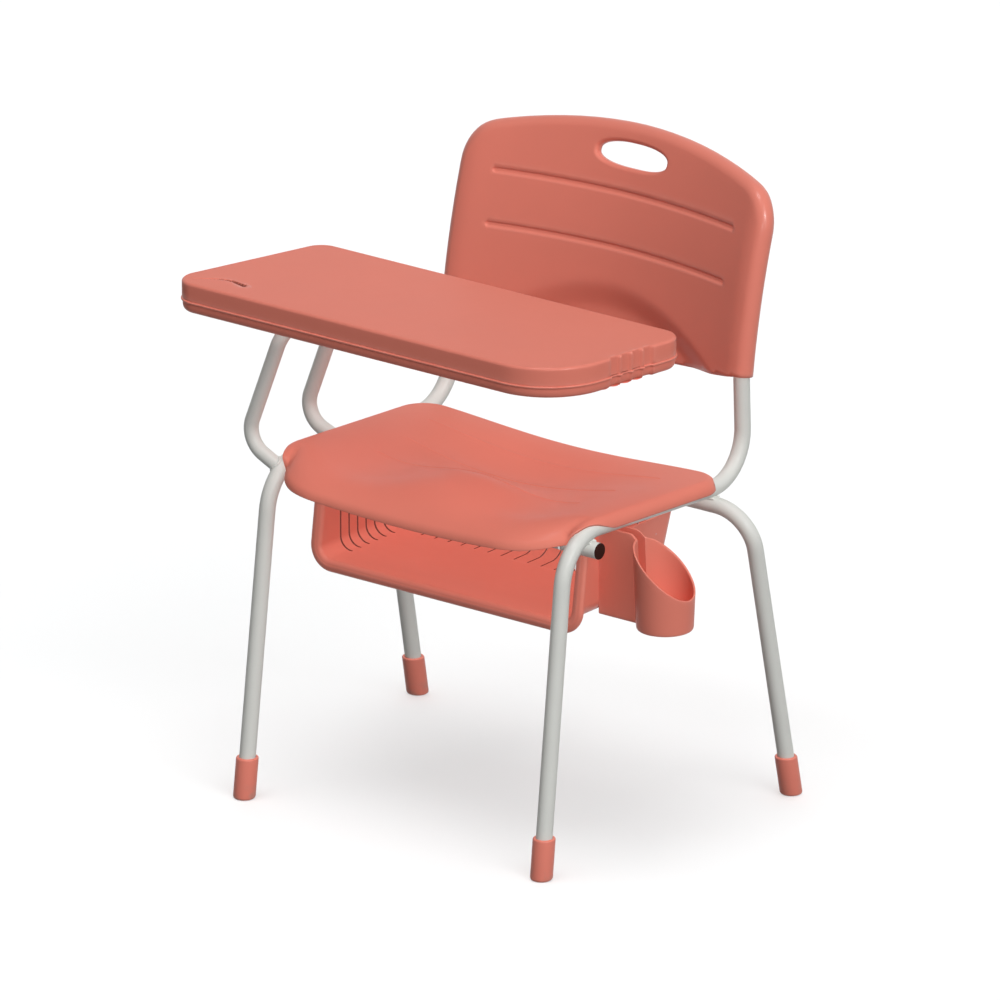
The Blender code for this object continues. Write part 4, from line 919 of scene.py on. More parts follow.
def panel_mesh(bm, name, seen):
    """A smooth mesh of a panel, turned so that its largest face looks towards the given direction."""
    bmesh.ops.remove_doubles(bm, verts=bm.verts, dist=MERGE)
    bmesh.ops.recalc_face_normals(bm, faces=bm.faces)
    largest = max(bm.faces, key=lambda face: face.calc_area())
    if largest.normal.dot(Vector(seen)) < 0:
        bmesh.ops.reverse_faces(bm, faces=bm.faces)
    mesh = bpy.data.meshes.new(name)
    bm.to_mesh(mesh)
    bm.free()
    mesh.shade_smooth()
    return mesh


def walled(obj, wall):
    """Gives a panel its wall behind the seen face."""
    solid = obj.modifiers.new("wall", "SOLIDIFY")
    solid.thickness = wall
    solid.offset = -1.0
    solid.use_even_offset = True
    solid.use_quality_normals = True
    settle(obj)


def cut_away(obj, mesh):
    """Takes a closed mesh, given in the chair's axes, out of an object."""
    tool = put("tool", mesh)
    tool.location = SHIFT
    cut = obj.modifiers.new("cut", "BOOLEAN")
    cut.solver = "EXACT"
    cut.material_mode = "TRANSFER" if mesh.materials else "INDEX"
    cut.object = tool
    settle(obj)
    bpy.data.objects.remove(tool)


def drop_flaps(obj, fewest=20):
    """Deletes the few loose faces that a cut can leave hanging on an edge."""
    bm = bmesh.new()
    bm.from_mesh(obj.data)
    bmesh.ops.remove_doubles(bm, verts=bm.verts, dist=CUT_MERGE)
    bmesh.ops.triangulate(bm, faces=[face for face in bm.faces if len(face.verts) > 4])
    seen, flaps = set(), []
    for first in bm.faces:
        island, waiting = [], [first]
        while waiting:
            face = waiting.pop()
            if face not in seen:
                seen.add(face)
                island.append(face)
                shared = [edge.link_faces for edge in face.edges if len(edge.link_faces) == 2]
                waiting += [other for pair in shared for other in pair]
        if len(island) < fewest:
            flaps += island
    bmesh.ops.delete(bm, geom=flaps, context="FACES")
    bm.to_mesh(obj.data)
    bm.free()


print("panel step", PANEL_STEP, "detail step", DETAIL_STEP)

# %% [markdown]
# ## Backrest
# The outline goes up one side, over the crown with its two shoulders, down the other side and back
# along the hem, which is a plain edge. The sides roll 200 degrees and hold the uprights, and the crown
# a little less. The hand hole has a soft rim and a short wall that runs rearward.

# %% Backrest
BACK_TOP_Z = 0.8285
BACK_CROWN_RADIUS = 0.85
BACK_SHOULDER = 0.045
SIDE_ROLL, CROWN_LESS = 200, 35
HAND_HOLE_Z = 0.802
HAND_HOLE = (0.124, 0.042)
HAND_HOLE_POWER = 2.5
HAND_HOLE_RIM = 0.006
HAND_HOLE_WALL = 0.006


def oval(length, height, centre, power, steps=240):
    """An outline between an ellipse and a rectangle, squarer as its power grows."""
    loop = []
    for angle in full_turn(steps):
        first = math.copysign(abs(math.cos(angle)) ** (2 / power), math.cos(angle))
        second = math.copysign(abs(math.sin(angle)) ** (2 / power), math.sin(angle))
        loop.append(Vector(centre) + Vector((first * length / 2, second * height / 2)))
    return loop


def crown(across):
    return BACK_TOP_Z - across * across / (2 * BACK_CROWN_RADIUS)


def back_roll(across, up):
    top = float(smoothstep(BACK_EDGE_X, BACK_EDGE_X - BACK_SHOULDER, abs(across)))
    return math.radians(SIDE_ROLL - CROWN_LESS * top)


def hole_roll(across, up):
    return math.pi / 2


edge = BACK_EDGE_X
shares = [0.8 - 0.1 * step for step in range(17)]
upper = [(edge, back_hem(edge)), (edge, crown(edge))]
upper += [(share * edge, crown(share * edge)) for share in shares]
upper += [(-edge, crown(edge)), (-edge, back_hem(edge))]
upper_path = evenly(filleted(upper, [0, BACK_SHOULDER] + [0] * len(shares) + [BACK_SHOULDER, 0]), 0.005)
hem_path = [Vector((across, back_hem(across))) for across in np.linspace(-edge, edge, 96).tolist()]
hole = evenly(closed_up(oval(*HAND_HOLE, (0, HAND_HOLE_Z), HAND_HOLE_POWER)), 0.003)[:-1]
back_outline = upper_path[:-1] + hem_path[:-1]
bm, (rim, hole_rim) = moulded_panel(back_outline, [hole], back_forward, back_place, groove_distance)
upper_edge = (upper_path, rim[: len(upper_path)], outward_normals(upper_path, closed=False))
roll_on(bm, *upper_edge, back_smooth, back_place, back_roll, ROLL_RADIUS)
hole_edge = map(closed_up, (hole, hole_rim, [-normal for normal in outward_normals(hole)]))
roll_on(bm, *hole_edge, back_smooth, back_place, hole_roll, HAND_HOLE_RIM, HAND_HOLE_WALL)
back_mesh = panel_mesh(bm, "backrest", (0, -1, 0))
backrest = piece("backrest_moulded", back_mesh, back_coral, ["back_shell"])
walled(backrest, SHELL_WALL)
print("backrest wall faces", len(backrest.data.polygons))

# %% [markdown]
# ## Seat
# The seat is the same kind of panel lying down. Behind the middle it is dished, in front two thigh
# hollows leave a low hump between them, and the front edge falls away, except where it is draped over
# the bends of the tubes. Three thin raised lines run across it. Its sides roll over the rails, and the
# places where the arm leaves the rail and where the rails come out behind are cut out of the rolled
# edge.

# %% Seat
SEAT_FRONT_Y, SEAT_REAR_Y = -0.200, 0.150
SEAT_REAR_CORNER = 0.034
SEAT_FRONT_CORNER = 0.095
SEAT_LINES = ((-0.043, 0.165), (0.025, 0.172), (0.097, 0.190))
SEAT_LINE_HALF, SEAT_LINE_FLAT = 0.0018, 0.3
SEAT_LINE_RISE = 0.0011
BOWL_DEPTH, BOWL_FADE = 0.034, 0.69
THIGH_DEPTH = 0.018
FALL_START_Y, FALL_LEAST_RUN = -0.110, 0.030
FALL_MIDDLE, FALL_SIDE_LESS = 0.034, 0.013
SEAT_ROLL, FRONT_LESS, FRONT_CORNER_LESS, REAR_LESS = 95, 40, 20, 55
ROLL_EASE_Y = (-0.080, -0.135)
ROLL_EASE_X = 0.060
ARM_NOTCH_GAP = 0.0018

corner_y = SEAT_REAR_Y - SEAT_REAR_CORNER
rear_x = RAIL_X - SEAT_REAR_CORNER
foot_line = leg_end(FRONT_FOOT, FRONT_LEAN, 1)
bend_corner = Vector((0, rail_front_y, rail_height(rail_front_y)))
down_leg = (Vector((0, foot_line.y, foot_line.z)) - bend_corner).normalized()
along_rail = Vector((0, 1, RAIL_SLOPE)).normalized()
bend_half = down_leg.angle(along_rail) / 2
bend_middle = bend_corner + (down_leg + along_rail).normalized() * FRONT_BEND / math.sin(bend_half)


def over_tubes(across, y):
    """How high the seat's face lies where it is draped over the front bends of the side tubes."""
    aside = np.abs(np.abs(across) - RAIL_X)
    rise = np.sqrt(np.maximum(ROLL_RADIUS**2 - aside**2, 0.0))
    above = np.sqrt(np.maximum((FRONT_BEND + rise) ** 2 - (y - bend_middle.y) ** 2, 0.0))
    return np.where((aside < ROLL_RADIUS) & (y < bend_middle.y), bend_middle.z + above, 0.0)


def front_edge_y(across):
    """The Y of the seat's front edge, along its front and round its corners."""
    past = np.clip(np.abs(across) - (RAIL_X - SEAT_FRONT_CORNER), 0.0, SEAT_FRONT_CORNER)
    return SEAT_FRONT_Y + SEAT_FRONT_CORNER - np.sqrt(SEAT_FRONT_CORNER**2 - past**2)


def seat_smooth(across, y):
    """The seat's face without its raised lines."""
    share = np.minimum(np.abs(across) / RAIL_X, 1.0)
    edge_z = rail_height(y) + ROLL_RADIUS * math.sqrt(1 + RAIL_SLOPE * RAIL_SLOPE)
    length = SEAT_REAR_Y - SEAT_FRONT_Y
    behind = smoothstep(SEAT_FRONT_Y + 0.35 * length, SEAT_FRONT_Y + 0.7 * length, y)
    fade = 1 - BOWL_FADE * smoothstep(SEAT_REAR_Y - 0.3 * length, SEAT_REAR_Y, y)
    bowl = BOWL_DEPTH * behind * fade * (1 - share * share) ** 2
    fall_run = np.maximum(FALL_START_Y - front_edge_y(across), FALL_LEAST_RUN)
    ahead = np.maximum((FALL_START_Y - y) / fall_run, 0.0)
    thighs = THIGH_DEPTH * (1 - behind) * (1 - smoothstep(0.0, 1.0, ahead)) * np.sin(math.pi * share) ** 2
    fall = FALL_MIDDLE - FALL_SIDE_LESS * share * share
    return np.maximum(edge_z - bowl - thighs - fall * ahead * ahead, over_tubes(across, y))


def seat_line_distance(across, y):
    return lines_distance(across, y, SEAT_LINES)


def seat_height(across, y):
    line = 1 - smoothstep(SEAT_LINE_HALF * SEAT_LINE_FLAT, SEAT_LINE_HALF, seat_line_distance(across, y))
    return seat_smooth(across, y) + SEAT_LINE_RISE * line


def seat_roll(across, y):
    """How far the edge rolls over: past upright along the sides, less in front and behind."""
    front = float(smoothstep(*ROLL_EASE_Y, y))
    outer = float(smoothstep(RAIL_X - ROLL_EASE_X, RAIL_X - TUBE_RADIUS, abs(across)))
    round_corner = math.atan2(y - corner_y, max(abs(across) - rear_x, 0.0)) if y > corner_y else 0.0
    behind = float(smoothstep(0.0, math.pi / 2, round_corner))
    return math.radians(SEAT_ROLL - (FRONT_LESS + FRONT_CORNER_LESS * outer) * front - REAR_LESS * behind)


def rear_turn(corners):
    return filleted(corners, [0, SEAT_REAR_CORNER, 0])[:-1]


front_corners = [(-RAIL_X, corner_y), (-RAIL_X, SEAT_FRONT_Y), (RAIL_X, SEAT_FRONT_Y), (RAIL_X, corner_y)]
seat_outline = evenly(filleted(front_corners, [0, SEAT_FRONT_CORNER, SEAT_FRONT_CORNER, 0]), 0.004)[:-1]
seat_outline += rear_turn([(RAIL_X, corner_y), (RAIL_X, SEAT_REAR_Y), (rear_x, SEAT_REAR_Y)])
seat_outline += evenly([Vector((rear_x, SEAT_REAR_Y)), Vector((-rear_x, SEAT_REAR_Y))], 0.005)[:-1]
seat_outline += rear_turn([(-rear_x, SEAT_REAR_Y), (-RAIL_X, SEAT_REAR_Y), (-RAIL_X, corner_y)])
bm, (rim,) = moulded_panel(seat_outline, [], seat_height, lying, seat_line_distance)
seat_edge = map(closed_up, (seat_outline, rim, outward_normals(seat_outline)))
roll_on(bm, *seat_edge, seat_smooth, lying, seat_roll, ROLL_RADIUS)
seat = piece("seat_moulded", panel_mesh(bm, "seat", (0, 0, 1)), shell_coral, ["seat_shell"])
walled(seat, SHELL_WALL)
cut_away(seat, finished_mesh(swept(arm_path, ARM_RADIUS + ARM_NOTCH_GAP, sides=32), "arm_notch"))
for side in SIDES.values():
    rail_end = [Vector((side * RAIL_X, corner_y, rail_height(corner_y)))]
    rail_end += [point for point in side_path(side) if point.y > corner_y and point.z < BACK_BOTTOM_Z]
    cut_away(seat, finished_mesh(swept(rail_end, TUBE_RADIUS + FIT_GAP, sides=64), "rail_notch"))
drop_flaps(seat)
print("seat faces with notches", len(seat.data.polygons))

# %% [markdown]
# ## Seat bosses
# Four bosses under the seat stand on the crossbars and take its screws. They are turned with a wide
# foot where they run into the shell.

# %% Seat bosses
BOSS_RADIUS = 0.007
BOSS_FLARE = 0.004
BOSS_XS = {"front": 0.150, "rear": 0.120}

for place_word, (bar_y, bar_z) in BARS.items():
    x = BOSS_XS[place_word]
    foot_z = bar_z + TUBE_RADIUS + FIT_GAP
    tall = float(seat_smooth(x, bar_y)) - SHELL_WALL * 0.7 - foot_z
    outline = [(0, 0), (BOSS_RADIUS, 0), (BOSS_RADIUS, tall - BOSS_FLARE)]
    outline += [(BOSS_RADIUS + BOSS_FLARE, tall), (0, tall)]
    for word, side in SIDES.items():
        bm = lathe(filleted(outline, [0, 0.0006, BOSS_FLARE, 0, 0], steps=6), 32)
        bmesh.ops.translate(bm, vec=(side * x, bar_y, foot_z), verts=bm.verts)
        solid_piece(f"seat_boss_{place_word}_{word}", bm, shell_coral)

# %% [markdown]
# ## Book basket
# A tray open in front and above, with rounded corners and a sloping rear. Its body is a box with two
# faces removed and its folds rounded. The mouth then grows row by row into a flat lip with a small
# ridge and a rolled edge.

# %% Book basket
BASKET_HALF = 0.2095
BASKET_FLOOR_Z = 0.3095
BASKET_TOP_Z = REAR_BAR_Z - 0.003
BASKET_FRONT = (-0.115, -0.101)
BASKET_REAR = (0.077, 0.112)
BASKET_CORNER = 0.020
BASKET_WALL = 0.003
BASKET_LIP = 0.0145
LIP_FOLD = 0.004
LIP_CURL, LIP_CURL_TURN = 0.0025, 1.9
LIP_RIDGE = [(0.0052, 0.0040), (0.0058, 0.0046), (0.0066, 0.0046), (0.0072, 0.0040)]


def basket_y(line, z):
    """Y of the sloping front or rear at a height."""
    share = (z - BASKET_FLOOR_Z) / (BASKET_TOP_Z - BASKET_FLOOR_Z)
    return line[0] + (line[1] - line[0]) * share


def mouth_walk(bm):
    """The basket's open front edge as vertices in order, from one top end to the other."""
    fronts = []
    for vert in bm.verts:
        if abs(vert.co.y - LIP_FOLD - basket_y(BASKET_FRONT, vert.co.z)) < MERGE:
            fronts.append(vert)
    walk = [min(fronts, key=lambda vert: (vert.co.x, -vert.co.z))]
    while True:
        nexts = [edge.other_vert(walk[-1]) for edge in walk[-1].link_edges if edge.is_boundary]
        nexts = [vert for vert in nexts if vert in fronts and vert not in walk]
        if not nexts:
            return walk
        walk.append(nexts[0])


def lip_profile():
    """Rows of the lip, as how far each lies outwards and forwards of the mouth."""
    quarter = np.linspace(0, math.pi / 2, 8)[1:].tolist()
    fold = [(LIP_FOLD * (1 - math.cos(t)), LIP_FOLD * math.sin(t)) for t in quarter]
    middle = BASKET_LIP - BASKET_WALL - LIP_CURL
    turns = np.linspace(0, LIP_CURL_TURN, 8).tolist()
    curl = [(middle + LIP_CURL * math.sin(t), LIP_FOLD - LIP_CURL * (1 - math.cos(t))) for t in turns]
    return fold + LIP_RIDGE + curl


bm = bmesh.new()
bmesh.ops.create_cube(bm, size=2.0)
for vert in bm.verts:
    z = BASKET_TOP_Z if vert.co.z > 0 else BASKET_FLOOR_Z
    y = basket_y(BASKET_REAR, z) if vert.co.y > 0 else basket_y(BASKET_FRONT, z) + LIP_FOLD
    vert.co = (vert.co.x * BASKET_HALF, y, z)
bm.normal_update()
openings = [face for face in bm.faces if face.normal.z > 0.9 or face.normal.y < -0.9]
bmesh.ops.delete(bm, geom=openings, context="FACES")
folds = [fold for fold in bm.edges if len(fold.link_faces) == 2]
bmesh.ops.bevel(bm, geom=folds, offset=BASKET_CORNER, segments=14, profile=0.5, affect="EDGES")
near = mouth_walk(bm)
mouth = [Vector((vert.co.x, vert.co.z)) for vert in near]
mouth_normals = outward_normals(mouth, closed=False)
for outwards, forwards in lip_profile():
    row = []
    for point, normal in zip(mouth, mouth_normals):
        spot = point + normal * outwards
        row.append(bm.verts.new((spot.x, basket_y(BASKET_FRONT, point.y) + LIP_FOLD - forwards, spot.y)))
    band(bm, near, row, closed=False)
    near = row
basket = piece("basket_moulded", panel_mesh(bm, "basket", (0, 0, -1)), basket_coral, ["basket"])
walled(basket, BASKET_WALL)

# %% [markdown]
# ## Slots of the basket
# A row of slots on each side runs from the wall round the corner into the floor, and fifteen more run
# up the rear. One mesh holds all the blocks that cut them, and each block has its two ends rounded by a
# bevel. The blocks carry a darker coral, which the Boolean hands on to the faces that it cuts: painted
# shade for the dark inside of each slot. A small bevel then softens every cut edge so that it catches light.

# %% Slots of the basket
SLOT_WIDTH, REAR_SLOT_WIDTH = 0.0029, 0.0022
SLOT_TOP_Z = BASKET_TOP_Z - 0.023
SLOT_FIRST_Y, SLOT_SPACING, SLOT_REACH = -0.071, 0.018, 0.020
REAR_SLOT_SPACING, REAR_SLOT_REACH = 0.022, 0.024
SIDE_SLOTS, REAR_SLOTS = 6, 15
SLOT_SOFT = 0.0004


def slot_block(bm, low, high, end_axis):
    """A block for one slot, with its upper end and its end in the floor rounded."""
    cube = bmesh.ops.create_cube(bm, size=1.0)["verts"]
    for vert in cube:
        vert.co = [low[axis] + (high[axis] - low[axis]) * (vert.co[axis] + 0.5) for axis in range(3)]
    inner = min(low[end_axis], high[end_axis], key=abs)
    rounded = []
    for line in dict.fromkeys(line for vert in cube for line in vert.link_edges):
        first, second = (vert.co for vert in line.verts)
        along = [abs(first[axis] - second[axis]) > MERGE for axis in range(3)]
        at_top = along[end_axis] and abs(first.z - high[2]) < MERGE
        if at_top or (along[2] and abs(first[end_axis] - inner) < MERGE):
            rounded.append(line)
    width = high[1 - end_axis] - low[1 - end_axis]
    bmesh.ops.bevel(bm, geom=rounded, offset=width * 0.48, segments=5, profile=0.5, affect="EDGES")


bm = bmesh.new()
below = BASKET_FLOOR_Z - BASKET_WALL
reach = (BASKET_HALF - BASKET_WALL - SLOT_REACH, BASKET_HALF + BASKET_WALL)
for number in range(SIDE_SLOTS):
    y = SLOT_FIRST_Y + number * SLOT_SPACING
    for first, last in (reach, (-reach[1], -reach[0])):
        # The cup's side starts one slot later.
        if number > 0 or first < 0:
            slot_block(bm, (first, y - SLOT_WIDTH / 2, below), (last, y + SLOT_WIDTH / 2, SLOT_TOP_Z), 0)
first, last = BASKET_REAR[0] - BASKET_CORNER - REAR_SLOT_REACH, BASKET_REAR[1] + BASKET_WALL
for number in range(REAR_SLOTS):
    x = (number - REAR_SLOTS // 2) * REAR_SLOT_SPACING
    slot_block(bm, (x - REAR_SLOT_WIDTH / 2, first, below), (x + REAR_SLOT_WIDTH / 2, last, SLOT_TOP_Z), 1)
slot_mesh = finished_mesh(bm, "slots")
# The darker coral on the blocks paints shade on the slots' inner faces.
slot_mesh.materials.append(painted_shade_coral)
cut_away(basket, slot_mesh)
soften = basket.modifiers.new("soften", "BEVEL")
soften.width = SLOT_SOFT
soften.segments = 2
soften.limit_method = "ANGLE"
soften.angle_limit = math.radians(50)
even = basket.modifiers.new("even", "WEIGHTED_NORMAL")
even.weight = 90
settle(basket)
print("basket faces with slots", len(basket.data.polygons))

# %% [markdown]
# ## Cup holder
# The cup is a tapered round well that opens into a narrow channel at the basket's side, and its top is
# cut off at a slant. A Boolean of two cylinders would leave sharp seams, so one keyhole outline is
# lofted from the base up to the slanted plane, over a round lip and down the inside again.

# %% Cup holder
CUP_X, CUP_Y = 0.310, -0.048
CUP_FLOOR_Z, CUP_TOP_Z = 0.3095, 0.430
CUP_BASE_RADIUS, CUP_TOP_RADIUS = 0.0375, 0.0425
CUP_WALL = 0.0028
SLANT_Z, SLANT_X, SLANT_Y = 0.389, -0.85, -0.10
NECK_HALF = 0.0105
NECK_START = BASKET_HALF + FIT_GAP
NECK_STEPS, CUP_STEPS = 8, 72
# The rounded foot outside and the floor inside, as how far each row is drawn in and how high it lies.
CUP_FOOT = ((0.006, 0.0012), (0.0048, 0.0), (0.0025, 0.0), (0.0008, 0.0006), (0.0001, 0.0018))
CUP_INSIDE = ((CUP_WALL + 0.0008, CUP_WALL + 0.0012), (CUP_WALL + 0.003, CUP_WALL))


def cup_radius(z):
    taper = CUP_TOP_RADIUS - CUP_BASE_RADIUS
    return CUP_BASE_RADIUS + taper * (z - CUP_FLOOR_Z) / (CUP_TOP_Z - CUP_FLOOR_Z)


def slant(x, y):
    return min(CUP_TOP_Z, SLANT_Z + SLANT_X * (x - CUP_X) + SLANT_Y * (y - CUP_Y))


def keyhole(radius, inwards):
    """The plan of cup and neck, anticlockwise, drawn in by a wall."""
    half, size, start = NECK_HALF - inwards, radius - inwards, NECK_START + inwards
    opening = math.asin(half / size)
    begin, sweep = -math.pi + opening, 2 * (math.pi - opening)
    meet = CUP_X - size * math.cos(opening)
    neck = [start + (meet - start) * step / NECK_STEPS for step in range(NECK_STEPS)]
    turns = [begin + sweep * step / CUP_STEPS for step in range(CUP_STEPS + 1)]
    loop = [(start, CUP_Y + half)] + [(x, CUP_Y - half) for x in neck]
    loop += [(CUP_X + size * math.cos(t), CUP_Y + size * math.sin(t)) for t in turns]
    return [Vector(point) for point in loop + [(x, CUP_Y + half) for x in neck[:0:-1]]]


def cup_ring(inwards, share, rise=0.0):
    """A ring of the wall at a share of the way up to the slant, drawn in by part of the wall."""
    tops = [slant(point.x, point.y) for point in keyhole(CUP_TOP_RADIUS, CUP_WALL / 2)]
    loops, ring = {}, []
    for index, top in enumerate(tops):
        z = CUP_FLOOR_Z + CUP_WALL + (top - CUP_FLOOR_Z - CUP_WALL) * share + rise
        key = round(z, 5)
        if key not in loops:
            loops[key] = keyhole(cup_radius(z), inwards)
        ring.append(Vector((*loops[key][index], z)))
    return ring


def flat_ring(inwards, up):
    return [Vector((*point, CUP_FLOOR_Z + up)) for point in keyhole(CUP_BASE_RADIUS, inwards)]


half_wall = CUP_WALL / 2
lip_turns = np.linspace(0.3, math.pi - 0.3, 7).tolist()
rings = [flat_ring(*row) for row in CUP_FOOT]
rings += [cup_ring(0.0, share) for share in np.linspace(0.02, 1.0, 16).tolist()]
rings += [cup_ring(half_wall * (1 - math.cos(t)), 1.0, half_wall * math.sin(t)) for t in lip_turns]
rings += [cup_ring(CUP_WALL, share) for share in np.linspace(1.0, 0.06, 16).tolist()]
rings += [flat_ring(*row) for row in CUP_INSIDE]
solid_piece("cup_moulded", lofted(rings), basket_coral, ["cup_holder"], sharp=50.0)

# %% [markdown]
# ## Tablet top
# The tablet has a flat face with a soft edge, a deep wall, and finger grips in its free end. The grips
# are part of the outline, and shallower at the face so that the soft edge can't cross itself. A
# finger-wide groove for a pen curves through the front corner over the hinge. As with the seat, the
# face is triangulated with points close together in the groove, and the edge and wall are lofted on
# from its outline.

# %% Tablet top
TABLET_TOP_Z, TABLET_BEAD_Z, TABLET_BOTTOM_Z = 0.690, 0.665, 0.647
TABLET_EDGE = 0.004
TABLET_CORNERS = ((0.256, -0.217), (0.296, 0.020), (-0.308, 0.020), (-0.380, -0.217))
TABLET_BENDS = (0.100, 0.030, 0.030, 0.030)
BEND_STEPS, OUTLINE_STEP = 24, 0.008
GRIP_FIRST_Y, GRIP_SPACING, GRIP_WIDTH, GRIP_EASE = -0.107, 0.0192, 0.0182, 0.22
GRIP_DEPTH, GRIP_ON_FACE = 0.0038, 0.15
PEN_LINE = ((-0.3514, -0.1976), (-0.3255, -0.1805), (-0.3064, -0.1730), (-0.2794, -0.1797))
PEN_HALF = (0.0012, 0.0022, 0.0030, 0.0040)
PEN_DEPTH = (0.0006, 0.0016, 0.0034, 0.0060)
PEN_FLAT = 0.55
PEN_DARK_DEPTH, PEN_DARK_REACH = 0.0013, 0.0045


def tablet_outline(grip_depth):
    """The tablet's plan, anticlockwise from its large corner, with four grips along the free end."""
    loop = filleted(TABLET_CORNERS, TABLET_BENDS, closed=True, steps=BEND_STEPS)
    start, end = loop[BEND_STEPS], loop[BEND_STEPS + 1]
    grips = []
    for number in range(4):
        for share in [step / 16 for step in range(17)]:
            ease = smoothstep(0.0, GRIP_EASE, share) * (1 - smoothstep(1 - GRIP_EASE, 1.0, share))
            y = GRIP_FIRST_Y + number * GRIP_SPACING + GRIP_WIDTH * (share - 0.5)
            x = start.x + (end.x - start.x) * (y - start.y) / (end.y - start.y)
            grips.append(Vector((x - grip_depth * float(ease), y)))
    made = loop[: BEND_STEPS + 1] + grips + loop[BEND_STEPS + 1 :] + loop[:1]
    spaced = []
    for near, far in zip(made, made[1:]):
        count = max(math.ceil((far - near).length / OUTLINE_STEP), 1)
        spaced += [near.lerp(far, step / count) for step in range(count)]
    return spaced


pen_path = evenly(filleted(PEN_LINE, [0, 0.02, 0.03, 0]), 0.003)


def pen_reading(x, y):
    """Distance from the pen groove's line, and its half width and depth at the nearest point."""
    best, half, depth = (np.full(np.shape(x), value) for value in (1.0, PEN_HALF[0], PEN_DEPTH[0]))
    for index, (near, far) in enumerate(zip(pen_path, pen_path[1:])):
        run = far - near
        share = np.clip(((x - near.x) * run.x + (y - near.y) * run.y) / run.length_squared, 0.0, 1.0)
        gap = np.hypot(x - near.x - run.x * share, y - near.y - run.y * share)
        along = (index + share) / (len(pen_path) - 1) * (len(PEN_LINE) - 1)
        closer = gap < best
        best = np.where(closer, gap, best)
        half = np.where(closer, np.interp(along, range(4), PEN_HALF), half)
        depth = np.where(closer, np.interp(along, range(4), PEN_DEPTH), depth)
    return best, half, depth


def pen_distance(x, y):
    return pen_reading(x, y)[0]


def tablet_height(x, y):
    gap, half, depth = pen_reading(x, y)
    return TABLET_TOP_Z - depth * (1 - smoothstep(half * PEN_FLAT, half, gap))


def level_ring(loop, inwards, z):
    return [Vector((*point, z)) for point in inset(loop, inwards)]


def rounded_ring(turn):
    """The outline part of the way round the soft edge, between the flat face and the wall."""
    z = TABLET_TOP_Z - TABLET_EDGE * (1 - math.cos(turn))
    return [Vector((*near.lerp(far, math.sin(turn)), z)) for near, far in zip(face_outline, outline)]


outline = tablet_outline(GRIP_DEPTH)
face_outline = inset(tablet_outline(GRIP_DEPTH * GRIP_ON_FACE), TABLET_EDGE)
bm, (rim,) = moulded_panel(face_outline, [], tablet_height, lying, pen_distance)
wall_zs = np.linspace(TABLET_TOP_Z - TABLET_EDGE, TABLET_BEAD_Z + 0.0004, 5)[1:].tolist()
edge_rings = [rounded_ring(turn) for turn in np.linspace(0, math.pi / 2, 9)[1:].tolist()]
edge_rings += [level_ring(outline, 0.0, z) for z in wall_zs]
edge_rings += [level_ring(outline, inwards, TABLET_BEAD_Z) for inwards in (0.0005, 0.003)]
bm.faces.new(loft_on(bm, rim, edge_rings))
# Faces deep in the pen groove's end take the darker coral: painted shade inside the groove.
for face in bm.faces:
    x, y, z = face.calc_center_median()
    in_groove = TABLET_TOP_Z - z > PEN_DARK_DEPTH and float(pen_distance(x, y)) < PEN_DARK_REACH
    face.material_index = int(in_groove)
top_mesh = panel_mesh(bm, "tablet_top", (0, 0, -1))
top_mesh.set_sharp_from_angle(angle=math.radians(50))
piece("tablet_top_moulded", top_mesh, tablet_coral, ["tablet_top"], "tablet")
top_mesh.materials.append(painted_shade_coral)

# %% [markdown]
# ## Tablet base
# The lower shell is a shallow bowl with a small bead where it meets the top. Its side is a curve, so it
# is lofted through a dozen inset outlines. Two saddles under it are the upper halves of the hinge, and
# two caps that are screwed to them the lower halves.

# %% Tablet base
TABLET_BEAD = 0.0012
BASE_INSET, BASE_START, BASE_DROP = 0.012, 0.0010, 0.0036
# The rows of the bead, as how far each is drawn in and how far it lies below the rim.
BEAD_ROWS = ((0.003, 0.0), (-TABLET_BEAD * 0.6, 0.0), (-TABLET_BEAD, 0.0005))
BEAD_ROWS += ((-TABLET_BEAD, 0.0020), (-TABLET_BEAD * 0.6, 0.0026), (0.0006, 0.0032))
SADDLE_SOFT, CLAMP_SOFT = 0.0006, 0.0008
SADDLE_HALF, SADDLE_WIDTH, SADDLE_SPACING, SADDLE_DEPTH = 0.019, 0.014, 0.048, 0.0145
HINGE_BORE = ARM_RADIUS + FIT_GAP
HINGE_Y = sum(ARM_YS) / 2
HINGE_ENDS = {"front": HINGE_Y - SADDLE_SPACING / 2, "rear": HINGE_Y + SADDLE_SPACING / 2}

rim_z = TABLET_BEAD_Z - FIT_GAP
base_rings = [level_ring(outline, inwards, rim_z - drop) for inwards, drop in BEAD_ROWS]
for turn in np.linspace(0.05, math.pi / 2, 12).tolist():
    inwards = BASE_START + (BASE_INSET - BASE_START) * (1 - math.cos(turn)) ** 1.6
    z = rim_z - BASE_DROP - (rim_z - BASE_DROP - TABLET_BOTTOM_Z) * math.sin(turn)
    base_rings.append(level_ring(outline, inwards, z))
base_rings.append(level_ring(outline, BASE_INSET + 0.006, TABLET_BOTTOM_Z))
solid_piece("tablet_base_moulded", lofted(base_rings), tablet_coral, ["tablet_base"], "tablet", 50.0)


def plate(loop, place, thickness, soften_by):
    """A plate from a flat outline, with its two rims softened."""
    bm = lofted([[place(point.x, point.y, depth) for point in loop] for depth in (0.0, thickness)])
    bm.faces.ensure_lookup_table()
    rims = list(dict.fromkeys(line for face in bm.faces[-2:] for line in face.edges))
    bmesh.ops.bevel(bm, geom=rims, offset=soften_by, segments=3, profile=0.5, affect="EDGES")
    return bm


def half_round(start, end, radius, steps=20):
    """An arc about the hinge's axis from one angle to another, in degrees."""
    turns = np.radians(np.linspace(start, end, steps + 1)).tolist()
    return [Vector((radius * math.cos(t), radius * math.sin(t))) for t in turns]


def hinge_block(z, end_z):
    return [(SADDLE_HALF, z), (SADDLE_HALF, end_z), (-SADDLE_HALF, end_z), (-SADDLE_HALF, z)]


